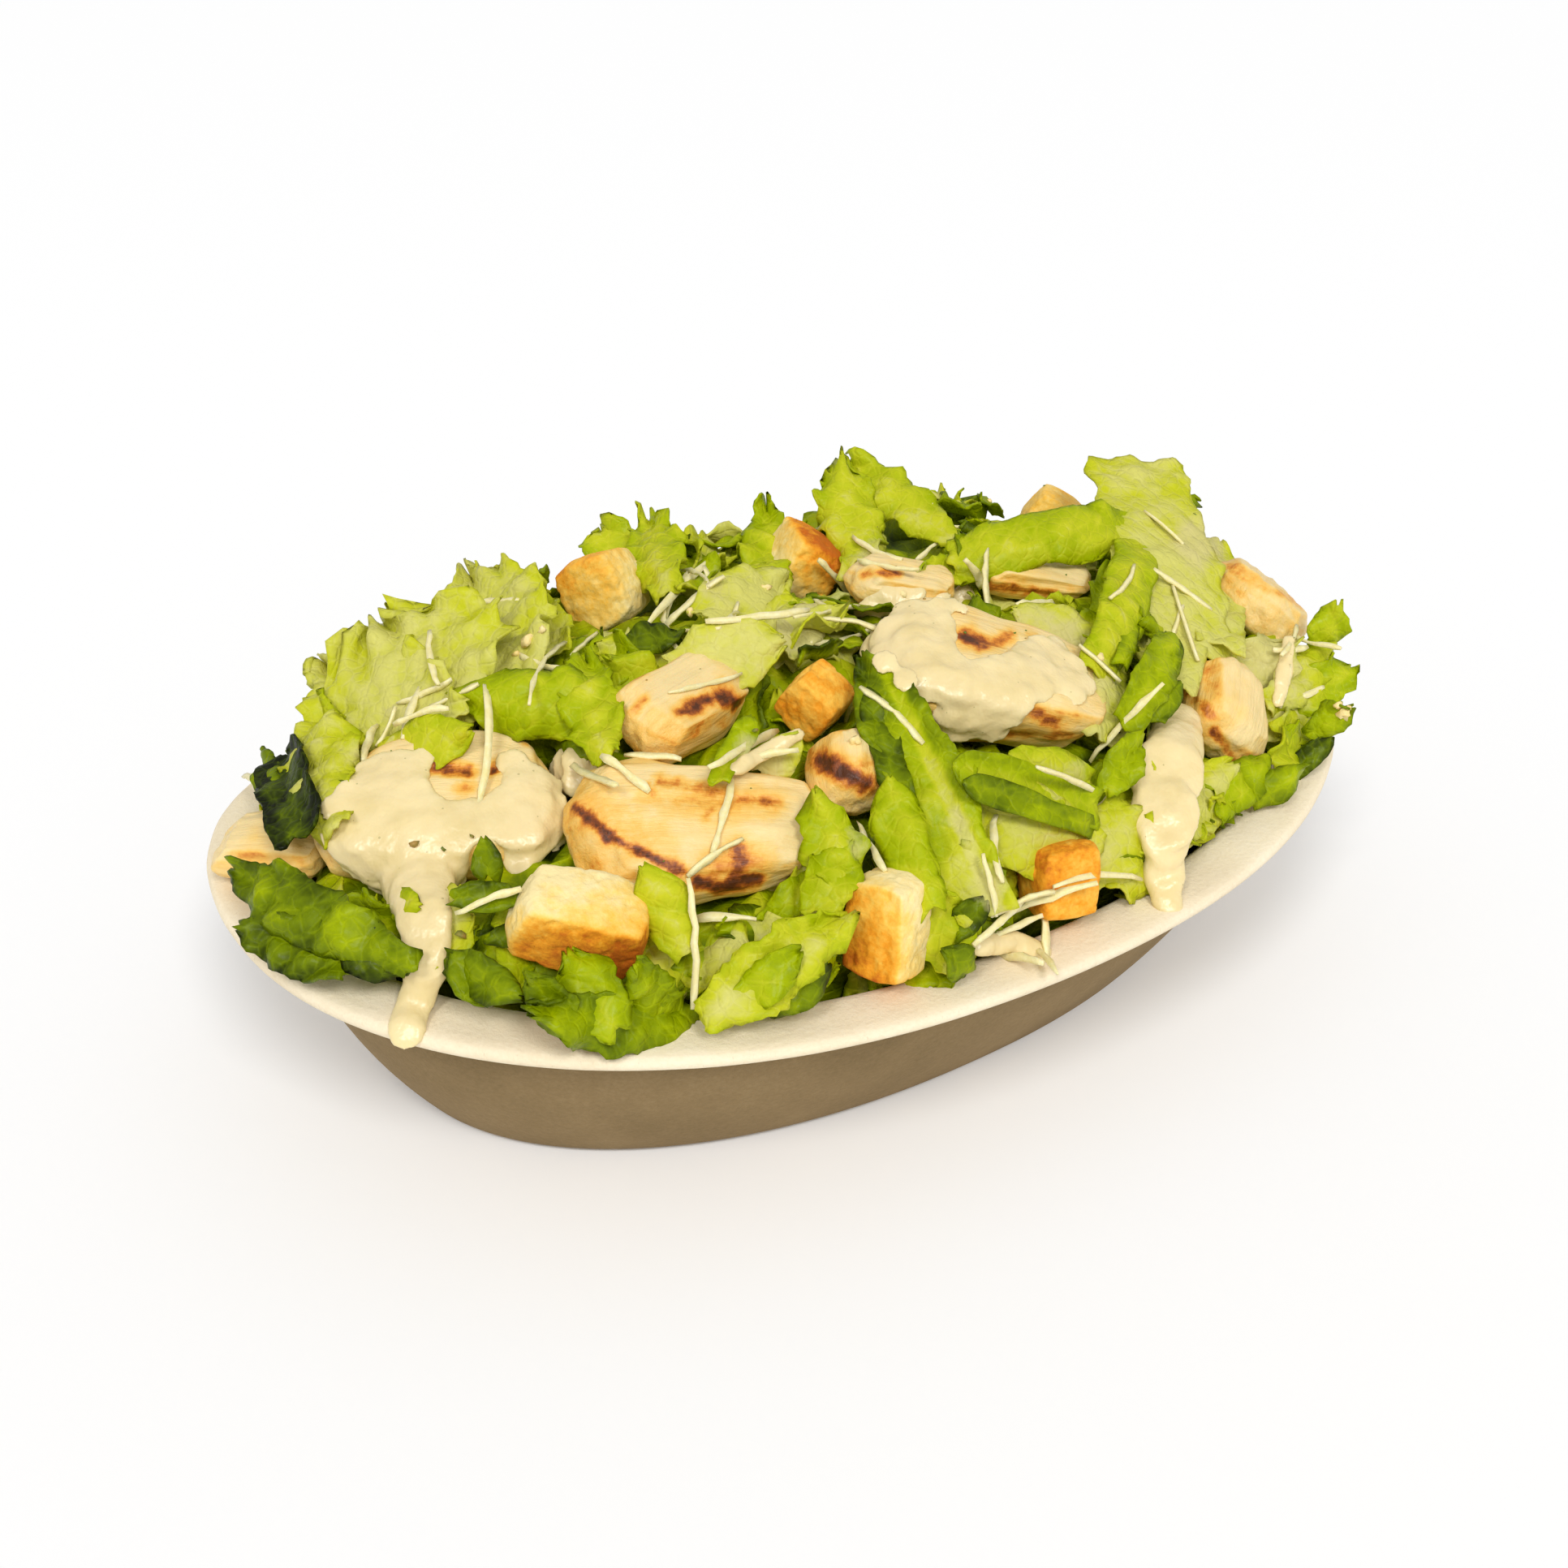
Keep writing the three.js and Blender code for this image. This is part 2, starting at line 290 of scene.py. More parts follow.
def lettuceMaterial():
    look, pattern = leafLook, leafPattern
    material, tree, place = newMaterial("lettuce")
    parts = add(tree, "SeparateXYZ", {"Vector": add(tree, "UVMap", uv_map="leaf").outputs[0]})
    along = calc(tree, "MULTIPLY", parts.outputs[0], pattern["sheet"])
    offRib = calc(tree, "ABSOLUTE", calc(tree, "SUBTRACT", parts.outputs[1], 0.5))
    offRib = calc(tree, "MULTIPLY", offRib, pattern["sheet"])
    patches, speckle, film, pores, wetness = (
        grain(tree, place, *look[name]) for name in ("patches", "speckle", "film", "pores", "wetness")
    )
    order = vary(tree, lower(tree, along, offRib, pattern["veinSlant"]), patches, pattern["warp"])
    order = calc(tree, "DIVIDE", order, pattern["veinPitch"])
    wave = calc(tree, "COSINE", calc(tree, "MULTIPLY", order, 2 * math.pi))
    vein = calc(tree, "POWER", calc(tree, "MULTIPLY_ADD", wave, 0.5, 0.5), 14.0)
    cells = {"Vector": place, "Scale": look["cells"] / mm}
    net = add(tree, "TexVoronoi", cells, feature="DISTANCE_TO_EDGE").outputs[0]
    net = calc(tree, "SUBTRACT", 1.0, calc(tree, "MULTIPLY", net, 7.0, clamp=True), clamp=True)
    rib = {"Value": offRib, "From Min": 0.5, "From Max": pattern["ribHalf"], "To Min": 1.0, "To Max": 0.0}
    rib = add(tree, "MapRange", rib, interpolation_type="SMOOTHSTEP").outputs[0]
    tone = vary(tree, attribute(tree, "tone"), patches, look["patchTone"])
    tone = vary(tree, tone, speckle, look["speckleTone"])
    tone = lower(tree, tone, vein, look["veinTone"])
    tone = lower(tree, tone, net, look["netTone"])
    colour = ramp(tree, lower(tree, tone, rib, look["ribTone"], clamp=True), look["tones"])
    milk = calc(tree, "ADD", attribute(tree, "milk"), calc(tree, "SUBTRACT", film, look["milkStart"]))
    milk = calc(tree, "MULTIPLY", milk, look["milkGain"], clamp=True)
    colour = blend(tree, calc(tree, "MULTIPLY", milk, look["milkMost"]), colour, look["milkColour"])
    height = lower(tree, calc(tree, "MULTIPLY", pores, look["dents"]), vein, look["dents"])
    relief = bump(tree, lower(tree, height, net, look["dents"]), look["relief"])
    shine = {"Value": wetness, "From Min": 0.35, "From Max": 0.65}
    shine.update({"To Min": look["wettest"], "To Max": look["driest"]})
    inputs = {
        "Base Color": colour,
        "Roughness": add(tree, "MapRange", shine).outputs[0],
        "Specular IOR Level": 0.13,
        "Coat Weight": 0.06,
        "Coat Roughness": 0.16,
        "Normal": relief,
    }
    leaf = add(tree, "BsdfPrincipled", inputs).outputs[0]
    through = add(tree, "BsdfTranslucent", {"Color": colour, "Normal": relief}).outputs[0]
    output(tree, add(tree, "MixShader", {"Fac": look["through"], 1: leaf, 2: through}).outputs[0])
    return material


fibreLook = {
    # The flange's top takes the rim colours and the wall under it the browner wall colours: the wall's brown
    # is partly the fibre's own tone and partly painted shade under the flange.
    "rim": [(0.32, srgb(240, 222, 188)), (0.55, srgb(248, 233, 202)), (0.75, srgb(251, 239, 213))],
    "wall": [(0.32, srgb(126, 105, 69)), (0.55, srgb(142, 119, 81)), (0.75, srgb(156, 133, 94))],
    "hairColour": srgb(150, 118, 74),
    "blotches": (0.06, 3.0),
    "felt": (1.1, 5.0, 0.7),
    "hairs": (2.4, 2.0),
    "hairStart": 0.66,
    "relief": 0.22,
    "roughness": 0.86,
    "shine": 0.25,
}


def fibreMaterial():
    look = fibreLook
    material, tree, place = newMaterial("fibre")
    felt = grain(tree, place, *look["felt"])
    drawn = {"Vector": place, "Scale": (1.0, 1.0, 0.22), "Rotation": (0.5, 0.3, 0.9)}
    hairs = grain(tree, add(tree, "Mapping", drawn).outputs[0], *look["hairs"])
    shade = calc(tree, "MULTIPLY", grain(tree, place, *look["blotches"]), 0.5)
    shade = calc(tree, "ADD", shade, calc(tree, "MULTIPLY", felt, 0.5))
    wall, rim = ramp(tree, shade, look["wall"]), ramp(tree, shade, look["rim"])
    hairs = calc(tree, "MULTIPLY", calc(tree, "SUBTRACT", hairs, look["hairStart"]), 5.0, clamp=True)
    hairs = calc(tree, "MULTIPLY", hairs, 0.35)
    # rim colour on the flange's top, and below it the wall colour with its painted shade
    colour = blend(tree, hairs, blend(tree, attribute(tree, "flange"), wall, rim), look["hairColour"])
    surface(tree, look, colour, bump(tree, felt, look["relief"]))
    return material


breadLook = {
    "toasts": [
        (0.05, srgb(250, 229, 166)),
        (0.3, srgb(251, 216, 126)),
        (0.55, srgb(250, 194, 76)),
        (0.78, srgb(241, 158, 30)),
        (1.0, srgb(198, 102, 10)),
    ],
    "patches": (0.28, 4.0, 0.6),
    "crumb": (1.5, 4.0, 0.65),
    "holes": 0.9,
    "patchToast": 0.9,
    "crumbToast": 0.35,
    "relief": 0.2,
    "roughness": 0.72,
    "shine": 0.3,
}


def breadMaterial():
    look = breadLook
    material, tree, place = newMaterial("toastedBread")
    crumb = grain(tree, place, *look["crumb"])
    holes = add(tree, "TexVoronoi", {"Vector": place, "Scale": look["holes"] / mm}).outputs[0]
    toast = vary(tree, attribute(tree, "toast"), grain(tree, place, *look["patches"]), look["patchToast"])
    toast = vary(tree, toast, crumb, look["crumbToast"], clamp=True)
    height = calc(tree, "ADD", calc(tree, "MULTIPLY", holes, 0.6), calc(tree, "MULTIPLY", crumb, 0.7))
    surface(tree, look, ramp(tree, toast, look["toasts"]), bump(tree, height, look["relief"]))
    return material


chickenLook = {
    "sears": [
        (0.0, srgb(243, 216, 153)),
        (0.14, srgb(243, 203, 117)),
        (0.32, srgb(242, 186, 82)),
        (0.52, srgb(218, 136, 40)),
        (0.74, srgb(146, 72, 18)),
        (0.95, srgb(84, 40, 12)),
    ],
    "threads": 1.1,
    "threadStretch": 0.13,
    "patches": (0.12, 3.0),
    "blotches": (0.5, 4.0, 0.65),
    "roughEdge": 1.1,
    "gold": 0.42,
    "threadSear": 0.14,
    "relief": 0.32,
    "roughness": 0.46,
    "shine": 0.45,
    "soft": (0.12, (0.0022, 0.0012, 0.0006)),
}


def chickenMaterial():
    look = chickenLook
    material, tree, place = newMaterial("grilledChicken")
    fibres = add(tree, "Attribute", attribute_name="fibres").outputs["Vector"]
    strands = add(tree, "Mapping", {"Vector": fibres, "Scale": (look["threadStretch"], 1.0, 1.0)}).outputs[0]
    threads = {"Vector": strands, "Scale": look["threads"], "Detail": 4.0, "Roughness": 0.6}
    threads = add(tree, "TexNoise", threads).outputs[0]
    blotches = grain(tree, place, *look["blotches"])
    char = attribute(tree, "char")
    rough = calc(tree, "MULTIPLY", calc(tree, "SUBTRACT", blotches, 0.5), look["roughEdge"])
    rough = calc(tree, "MULTIPLY", rough, calc(tree, "MULTIPLY", char, 2.0, clamp=True))
    burnt = vary(tree, calc(tree, "ADD", char, rough), grain(tree, place, *look["patches"]), look["gold"])
    burnt = vary(tree, burnt, threads, look["threadSear"], clamp=True)
    relief = bump(tree, calc(tree, "ADD", threads, calc(tree, "MULTIPLY", blotches, 0.4)), look["relief"])
    surface(tree, look, ramp(tree, burnt, look["sears"]), relief)
    return material


dressingLook = {
    "creams": [(0.3, srgb(230, 208, 148)), (0.6, srgb(240, 219, 164))],
    "herb": srgb(150, 140, 80),
    "clouds": (0.15, 3.0),
    "herbs": 0.33,
    "herbSize": 0.07,
    "dents": (0.5, 2.0),
    "relief": 0.25,
    "roughness": 0.3,
    "soft": (0.15, (0.002, 0.0015, 0.001)),
}


def dressingMaterial():
    look = dressingLook
    material, tree, place = newMaterial("dressing")
    herbs = add(tree, "TexVoronoi", {"Vector": place, "Scale": look["herbs"] / mm}).outputs[0]
    dots = calc(tree, "MULTIPLY", calc(tree, "LESS_THAN", herbs, look["herbSize"]), 0.5)
    cream = ramp(tree, grain(tree, place, *look["clouds"]), look["creams"])
    relief = bump(tree, grain(tree, place, *look["dents"]), look["relief"])
    surface(tree, look, blend(tree, dots, cream, look["herb"]), relief)
    return material


cheeseLook = {
    "yellows": [(0.3, srgb(238, 222, 150)), (0.7, srgb(250, 238, 186))],
    "crumbs": (0.8, 4.0, 0.6),
    "relief": 0.15,
    "roughness": 0.42,
    "soft": (0.2, (0.002, 0.0016, 0.0008)),
}


def cheeseMaterial():
    look = cheeseLook
    material, tree, place = newMaterial("hardCheese")
    crumbs = grain(tree, place, *look["crumbs"])
    surface(tree, look, ramp(tree, crumbs, look["yellows"]), bump(tree, crumbs, look["relief"]))
    return material


fleckLook = {
    "herbs": [(0.4, srgb(98, 122, 30)), (0.6, srgb(170, 134, 62))],
    "patches": 0.3,
    "dents": 2.0,
    "relief": 0.1,
    "roughness": 0.6,
}


def fleckMaterial():
    look = fleckLook
    material, tree, place = newMaterial("herbFlecks")
    relief = bump(tree, grain(tree, place, look["dents"]), look["relief"])
    surface(tree, look, ramp(tree, grain(tree, place, look["patches"]), look["herbs"]), relief)
    return material


makeCamera()
lettuce = lettuceMaterial()
fibre = fibreMaterial()
bread = breadMaterial()
chicken = chickenMaterial()
dressing = dressingMaterial()
cheese = cheeseMaterial()
heapTree = treeOf([cad["salad_heap"]])
solidTree = treeOf([cad[name] for name in ["bowl", "salad_heap"] + toppingNames])
print("camera, materials and the frame's surfaces are ready")

bowl = {  # the sizes of the frame's bowl, in mm, with its curves drawn finer
    "length": 230.0,
    "width": 160.0,
    "rim": 42.0,
    "twist": 3.0,  # the mouth's ends stand this much over the rim's height, its sides as much under it
    "twistStart": 4.0,
    "power": 2.2,  # 2 gives an ellipse, more a squarer outline
    "flange": 10.0,
    "wall": 1.8,
    "baseInset": 27.0,
    "curve": 1.8,
    "wallHeights": (1.6, 39.0),
    "wallRings": 20,
    "steps": 216,
    "sole": [(-3, 0), (-1.6, 0.25), (-0.6, 0.8)],  # out from the base's outline, and up
    "underFlange": [(0.5, -1.8), (2, -1.8)],  # out from the throat, and up from the rim
    "lip": [  # out from the mouth's outline, and up from the rim
        (-3, -1.8), (-1.8, -1.9), (-1.4, -2.4), (-0.7, -2.5), (-0.15, -2.1), (0, -1.2), (-0.2, -0.5),
        (-0.9, 0), (-2.5, 0.05), (-5, 0),
    ],
    "throat": [(1.2, 0), (0, -0.15), (-0.8, -0.7)],
    "innerSole": [(-2.6, 1.9), (-4.5, 1.8)],
    "waver": 0.35,  # unevenness of the pressed fibre
    "waverSizes": (22, 7),
    "creaseAngle": -12.0,  # a fold across the flange, in degrees round the bowl
    "creaseDepth": 0.9,
    "creaseWidth": 1.6,
    "leafDip": 0.9,  # mm that leaves may sink into the flange
    "leafGap": 0.4,  # mm that they keep from the wall inside
}
mouth = bowl["length"] / 2
base = mouth - bowl["baseInset"]
throat = mouth - bowl["flange"]


def wallAt(z):  # outer radius of the wall along the bowl's long side
    return throat - (throat - base) * (1 - min(1.0, z / bowl["rim"])) ** bowl["curve"]


def outlineShare(point, radius):  # 1 on the bowl's outline where it has this radius, and more outside it
    across = radius - (bowl["length"] - bowl["width"]) / 2
    power = bowl["power"]
    return ((abs(point.x) / radius) ** power + (abs(point.y) / across) ** power) ** (1 / power)


def rimUnder(point):  # height of the flange in a point's direction
    along, across = point.x / bowl["length"], point.y / bowl["width"]
    return bowl["rim"] + bowl["twist"] * (along**2 - across**2) / (along**2 + across**2)


def riseAt(z):  # 0 at the foot of the bowl to 1 at its rim
    return max(0.0, z - bowl["twistStart"]) / (bowl["rim"] - bowl["twistStart"])


def insideBowl(point):  # moved back inside if it would come out through the wall, under the flange
    z = point.z - (rimUnder(point) - bowl["rim"]) * riseAt(point.z) ** 2
    if z > bowl["rim"] - bowl["leafDip"] or outlineShare(point, mouth) > 1:
        return point
    share = outlineShare(point, wallAt(max(0.0, z - 1)) - bowl["wall"] - bowl["leafGap"])
    return Vector((point.x / share, point.y / share, point.z)) if share > 1 else point


def bowlProfile():  # radius and height, from the middle of the base's underside round to its upper side
    low, high = bowl["wallHeights"]
    heights = [low + (high - low) * ring / bowl["wallRings"] for ring in range(bowl["wallRings"] + 1)]

    def near(radius, height, name):
        return [(radius + out, height + up) for out, up in bowl[name]]

    return [
        (0, 0),
        (base * 0.5, 0),
        *near(base, 0, "sole"),
        *((wallAt(z), z) for z in heights),
        *near(throat, bowl["rim"], "underFlange"),
        *near(mouth, bowl["rim"], "lip"),
        *near(throat, bowl["rim"], "throat"),
        *((wallAt(z) - bowl["wall"], z + 1) for z in reversed(heights)),
        *near(base, 0, "innerSole"),
        (base * 0.5, bowl["wall"]),
        (0, bowl["wall"]),
    ]


def placeOnBowl(vert):  # takes a vertex of the round bowl to its place on the oval one
    radius = math.hypot(vert.co.x, vert.co.y)
    angle = math.atan2(vert.co.y, vert.co.x)
    inset = mouth - max(radius, base)
    shrink = min(1.0, radius / base)
    cosine, sine = math.cos(angle), math.sin(angle)
    power = 2 / bowl["power"]
    x = (mouth - inset) * shrink * math.copysign(abs(cosine) ** power, cosine)
    y = (bowl["width"] / 2 - inset) * shrink * math.copysign(abs(sine) ** power, sine)
    z = vert.co.z
    high = riseAt(z)
    z += bowl["twist"] * math.cos(2 * angle) * high**2
    coarse, fine = (noise.noise(Vector((x, y, z)) / size) for size in bowl["waverSizes"])
    uneven = coarse + 0.4 * fine
    z += bowl["waver"] * uneven * high
    outward = 1 + bowl["waver"] * uneven / mouth * high
    fold = math.exp(-(((angle - math.radians(bowl["creaseAngle"])) * mouth / bowl["creaseWidth"]) ** 2))
    z -= bowl["creaseDepth"] * fold * smooth(throat - 1, throat + 2, radius)
    vert.co = (x * outward, y * outward, z)


def makeBowl():
    bm = bmesh.new()
    rings = [bm.verts.new((radius, 0, z)) for radius, z in bowlProfile()]
    edges = [bm.edges.new(pair) for pair in zip(rings, rings[1:])]
    turn = {"cent": (0, 0, 0), "axis": (0, 0, 1), "angle": 2 * math.pi, "steps": bowl["steps"]}
    bmesh.ops.spin(bm, geom=rings + edges, use_merge=True, **turn)
    bmesh.ops.remove_doubles(bm, verts=bm.verts, dist=0.0005)
    flange = bm.verts.layers.float.new("flange")
    for vert in bm.verts:
        # 1 on the flange's top, 0 on the wall, whose colour holds painted shade
        vert[flange] = smooth(bowl["rim"] - 3.2, bowl["rim"] - 2.5, vert.co.z)
        if math.hypot(vert.co.x, vert.co.y) > 0.01:
            placeOnBowl(vert)
    bmesh.ops.recalc_face_normals(bm, faces=bm.faces)
    piece = finish(bm, "fibreBowl", fibre)
    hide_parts("bowl")


makeBowl()
print("bowl made")


core = {
    "centre": (0.0, 0.0, 36.0),
    "stretch": (1.5, 1.0, 0.55),  # of the ball's directions, so that its faces come out about equal
    "inset": 6.5,  # mm inside the heap's outline
    "edgeInset": 4.6,
    "edge": (46, 58),  # heights between which one inset turns into the other
    "rounds": 6,
    "folds": 3.2,  # height of its crumples
    "foldSize": 8.0,
    "crumples": [(1, 1), (2.3, 0.5), (5.1, 0.25)],  # finer and weaker each time
    "foldEdge": (44, 50),
    # tone of the crumples' hollows, painted dark as the shade between leaves, and of their crests
    "shadedHollowTone": 0.95,
    "crestTone": 0.35,
}


def makeCore():
    bm = bmesh.new()
    bmesh.ops.create_icosphere(bm, subdivisions=6, radius=1.0)
    centre = Vector(core["centre"])
    for vert in bm.verts:
        direction = Vector([share * stretch for share, stretch in zip(vert.co, core["stretch"])]).normalized()
        hit = heapTree.ray_cast(centre, direction)[0]
        reach = (hit - centre).length if hit else 20.0
        low = 1 - smooth(*core["edge"], hit.z) if hit else 0.0
        vert.co = centre + direction * (reach - mix(core["inset"], core["edgeInset"], low))
    relax(bm, core["rounds"])
    tone = bm.verts.layers.float.new("tone")

    def heightAt(vert):
        spot = vert.co / core["foldSize"]
        crumple = sum(abs(noise.noise(spot * finer)) * share for finer, share in core["crumples"])
        # hollows painted darker than the crests: painted shade
        vert[tone] = mix(core["shadedHollowTone"], core["crestTone"], smooth(0.1, 0.75, crumple))
        return core["folds"] * (crumple * 2 - 0.7) * smooth(*core["foldEdge"], vert.co.z)

    push(bm, heightAt)
    piece = finish(bm, "innerLeaves", lettuce)
    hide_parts("salad_heap")
    return piece


innerLeaves = makeCore()
print("heap core made")


# toppings
def mainAxes(points):  # centre of a piece, and its longest, middle and shortest directions
    centre = sum(points, Vector()) / len(points)
    offsets = [point - centre for point in points]
    longest, middle = Vector((1.0, 0.6, 0.3)), Vector((0.3, 1.0, 0.4))
    for _ in range(24):
        longest = sum((offset * offset.dot(longest) for offset in offsets), Vector()).normalized()
        middle = sum((offset * offset.dot(middle) for offset in offsets), Vector())
        middle = (middle - longest * middle.dot(longest)).normalized()
    return centre, longest, middle, longest.cross(middle)


croutonForm = {
    "cuts": 7,
    "smoothing": 2,
    "lump": 0.35,
    "lumpSize": 7.0,
    "pit": 0.35,
    "pitSize": 1.5,
    "swell": 0.25,  # makes up for what smoothing takes away
    "gradient": 0.4,  # share of the browning that grows across a cube, not from face to face
    "fade": 8.0,  # mm from the middle to full browning
}
toastOf = {  # toast, its change from face to face, and where the browner faces look: right, up, to the eye
    "crouton_1": (0.38, 0.34, (-0.8, 0.5, 0.3)),
    "crouton_2": (0.46, 0.66, (0.8, 0.45, 0.2)),
    "crouton_3": (0.62, 0.12, (0.0, -0.4, 0.8)),
    "crouton_4": (0.36, 0.15, (0.0, 0.5, 0.5)),
    "crouton_5": (0.42, 0.55, (-0.75, -0.6, 0.1)),
    "crouton_6": (0.70, 0.15, (-0.3, 0.2, 0.5)),
    "crouton_7": (0.48, 0.60, (0.35, -0.95, 0.1)),
    "crouton_8": (0.50, 0.30, (0.2, 0.2, -0.8)),
    "crouton_9": (0.55, 0.30, (-0.6, -0.2, -0.5)),
    "crouton_10": (0.45, 0.35, (0.5, 0.1, -0.7)),
}


def makeCrouton(name):
    form = croutonForm
    level, change, direction = toastOf[name]
    browned = (viewRight * direction[0] + viewUp * direction[1] + toCamera * direction[2]).normalized()
    bm = copyOfNode(name)
    refine(bm, form["cuts"], form["smoothing"])
    centre = sum((vert.co for vert in bm.verts), Vector()) / len(bm.verts)
    toast = bm.verts.layers.float.new("toast")
    for vert in bm.verts:
        along = (vert.co - centre).dot(browned) / form["fade"]
        vert[toast] = level + change * mix(vert.normal.dot(browned), along, form["gradient"])

    def heightAt(vert):
        lump = noise.noise(vert.co / form["lumpSize"]) * form["lump"]
        pit = min(0.0, noise.noise(vert.co / form["pitSize"]) + 0.1) * form["pit"] * 2
        return form["swell"] + lump + pit

    push(bm, heightAt)
    piece = finish(bm, name.replace("crouton_", "toastedCube"), bread)
    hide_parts(name)
    return piece


chickenForm = {
    "cuts": 8,
    "smoothing": 2,
    "lump": 0.7,
    "lumpSize": 9.0,
    "strand": 0.34,
    "strandSize": 1.7,
    "strandStretch": 0.14,
    "tear": 0.65,
    "tearSpread": 0.45,
    "swell": 0.25,
    "edgeGold": 0.3,
    "sideGold": 0.14,
    "patchSize": 6.0,
    "wobbleSize": 2.2,
    "searDepth": 0.3,
}
searOf = {  # grill marks of each piece: two pixels, width in pixels, darkness
    "chicken_1": [
        ((714, 996), (752, 1032), 9, 0.95), ((752, 1032), (840, 1074), 8, 0.9),
        ((812, 964), (890, 977), 9, 0.55), ((885, 978), (872, 1006), 6, 0.5),
        ((797, 967), (806, 984), 5, 0.55), ((912, 984), (958, 990), 9, 0.55),
        ((858, 1084), (888, 1093), 11, 1.0), ((888, 1093), (930, 1082), 12, 0.98),
        ((912, 1050), (904, 1086), 15, 0.78), ((716, 1000), (790, 1040), 34, 0.3),
        ((800, 985), (950, 992), 20, 0.32), ((880, 1075), (930, 1070), 26, 0.42),
    ],
    "chicken_2": [
        ((841, 876), (886, 857), 11, 0.85), ((886, 857), (920, 872), 14, 0.95),
        ((889, 892), (893, 884), 6, 0.55), ((776, 880), (796, 862), 6, 0.45),
        ((766, 927), (780, 950), 6, 0.5),
    ],
    "chicken_3": [
        ((536, 945), (578, 952), 9, 0.85), ((567, 972), (580, 968), 8, 0.5),
        ((606, 950), (612, 944), 8, 0.8), ((498, 1051), (536, 1043), 5, 0.5),
        ((652, 913), (684, 918), 8, 0.7),
    ],
    "chicken_4": [
        ((1188, 785), (1208, 795), 10, 0.95), ((1208, 795), (1244, 784), 9, 0.6),
        ((1272, 878), (1298, 888), 11, 0.72), ((1205, 908), (1325, 905), 8, 0.5),
        ((1266, 782), (1284, 793), 6, 0.35),
    ],
    "chicken_5": [((1206, 720), (1300, 733), 7, 0.62), ((1326, 690), (1336, 684), 7, 0.6)],
    "chicken_6": [
        ((1066, 708), (1104, 708), 6, 0.65), ((1112, 752), (1147, 750), 8, 0.55),
        ((1048, 706), (1052, 706), 4, 0.4),
    ],
    "chicken_7": [
        ((1533, 714), (1604, 745), 6, 0.35), ((1527, 731), (1531, 733), 6, 0.4),
        ((1482, 716), (1480, 740), 5, 0.36),
    ],
    "chicken_8": [
        ((1460, 852), (1494, 880), 9, 0.5), ((1495, 900), (1528, 950), 7, 0.65),
        ((1528, 950), (1565, 950), 6, 0.55),
    ],
    "chicken_9": [
        ((288, 1110), (322, 1118), 9, 0.6), ((258, 1098), (266, 1106), 9, 0.9),
        ((416, 1053), (404, 1073), 7, 0.42),
    ],
    "chicken_10": [((1012, 938), (1064, 966), 17, 0.95), ((1000, 928), (1070, 945), 10, 0.5)],
}
grillBars = {"pitch": 9.0, "half": 1.3, "darkness": 0.62}  # on the pieces that lie round the back


def segmentDistance(point, first, last):
    along = (last[0] - first[0], last[1] - first[1])
    across = (point[0] - first[0], point[1] - first[1])
    share = (across[0] * along[0] + across[1] * along[1]) / max(along[0] ** 2 + along[1] ** 2, 1e-6)
    share = min(1.0, max(0.0, share))
    return math.hypot(across[0] - along[0] * share, across[1] - along[1] * share)


def searAt(vert, marks, wobble):  # from the marks that face the eye
    darkness = 0.0
    seen = smooth(-0.05, 0.2, vert.normal.dot(toCamera))
    pixel = pixelOf(vert.co)
    for first, last, width, strength in marks:
        away = max(0.0, segmentDistance(pixel, first, last) + wobble * 5)
        darkness = max(darkness, seen * strength * math.exp(-((away / width) ** 2)))
    return darkness


def barAt(vert, along, wobble):  # from grill bars across the upper side
    place = along / grillBars["pitch"]
    away = abs(place - round(place)) * grillBars["pitch"] + wobble
    bar = math.exp(-((away / grillBars["half"]) ** 2)) * smooth(0, 0.5, vert.normal.z)
    return grillBars["darkness"] * bar


def makeChicken(name):
    form = chickenForm
    bm = copyOfNode(name)
    centre, longest, middle, thin = mainAxes([vert.co.copy() for vert in bm.verts])
    refine(bm, form["cuts"], form["smoothing"])
    fibres = bm.verts.layers.float_vector.new("fibres")
    char = bm.verts.layers.float.new("char")
    for vert in bm.verts:
        local = vert.co - centre
        vert[fibres] = Vector((local.dot(longest), local.dot(middle), local.dot(thin)))
        wobble = noise.noise(vert.co / form["wobbleSize"])
        flatness = abs(vert.normal.dot(thin))
        patch = max(0.0, 0.55 + 1.3 * noise.noise(vert.co / form["patchSize"] + centre))
        gold = form["edgeGold"] * math.exp(-(((flatness - 0.55) / 0.28) ** 2)) * patch
        darkness = gold + form["sideGold"] * (1 - smooth(0.3, 0.7, flatness))
        if name in searOf:
            darkness = max(darkness, searAt(vert, searOf[name], wobble))
        elif vert.normal.z > 0:
            darkness = max(darkness, barAt(vert, vert[fibres].x, wobble))
        vert[char] = darkness

    def heightAt(vert):
        lump = noise.noise(vert.co / form["lumpSize"]) * form["lump"]
        spot = vert[fibres] / form["strandSize"]
        spot.x *= form["strandStretch"]
        strand = noise.noise(spot) * form["strand"]
        tear = min(0.0, noise.noise(spot * form["tearSpread"]) + 0.28) * form["tear"] * 2
        return form["swell"] + lump + strand + tear - form["searDepth"] * vert[char]

    push(bm, heightAt)
    piece = finish(bm, name.replace("chicken_", "grilledChicken"), chicken)
    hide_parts(name)
    return piece


toppings = [makeCrouton(name) if name.startswith("crouton_") else makeChicken(name) for name in toppingNames]
toppingTree = treeOf(toppings)
print("toppings made")

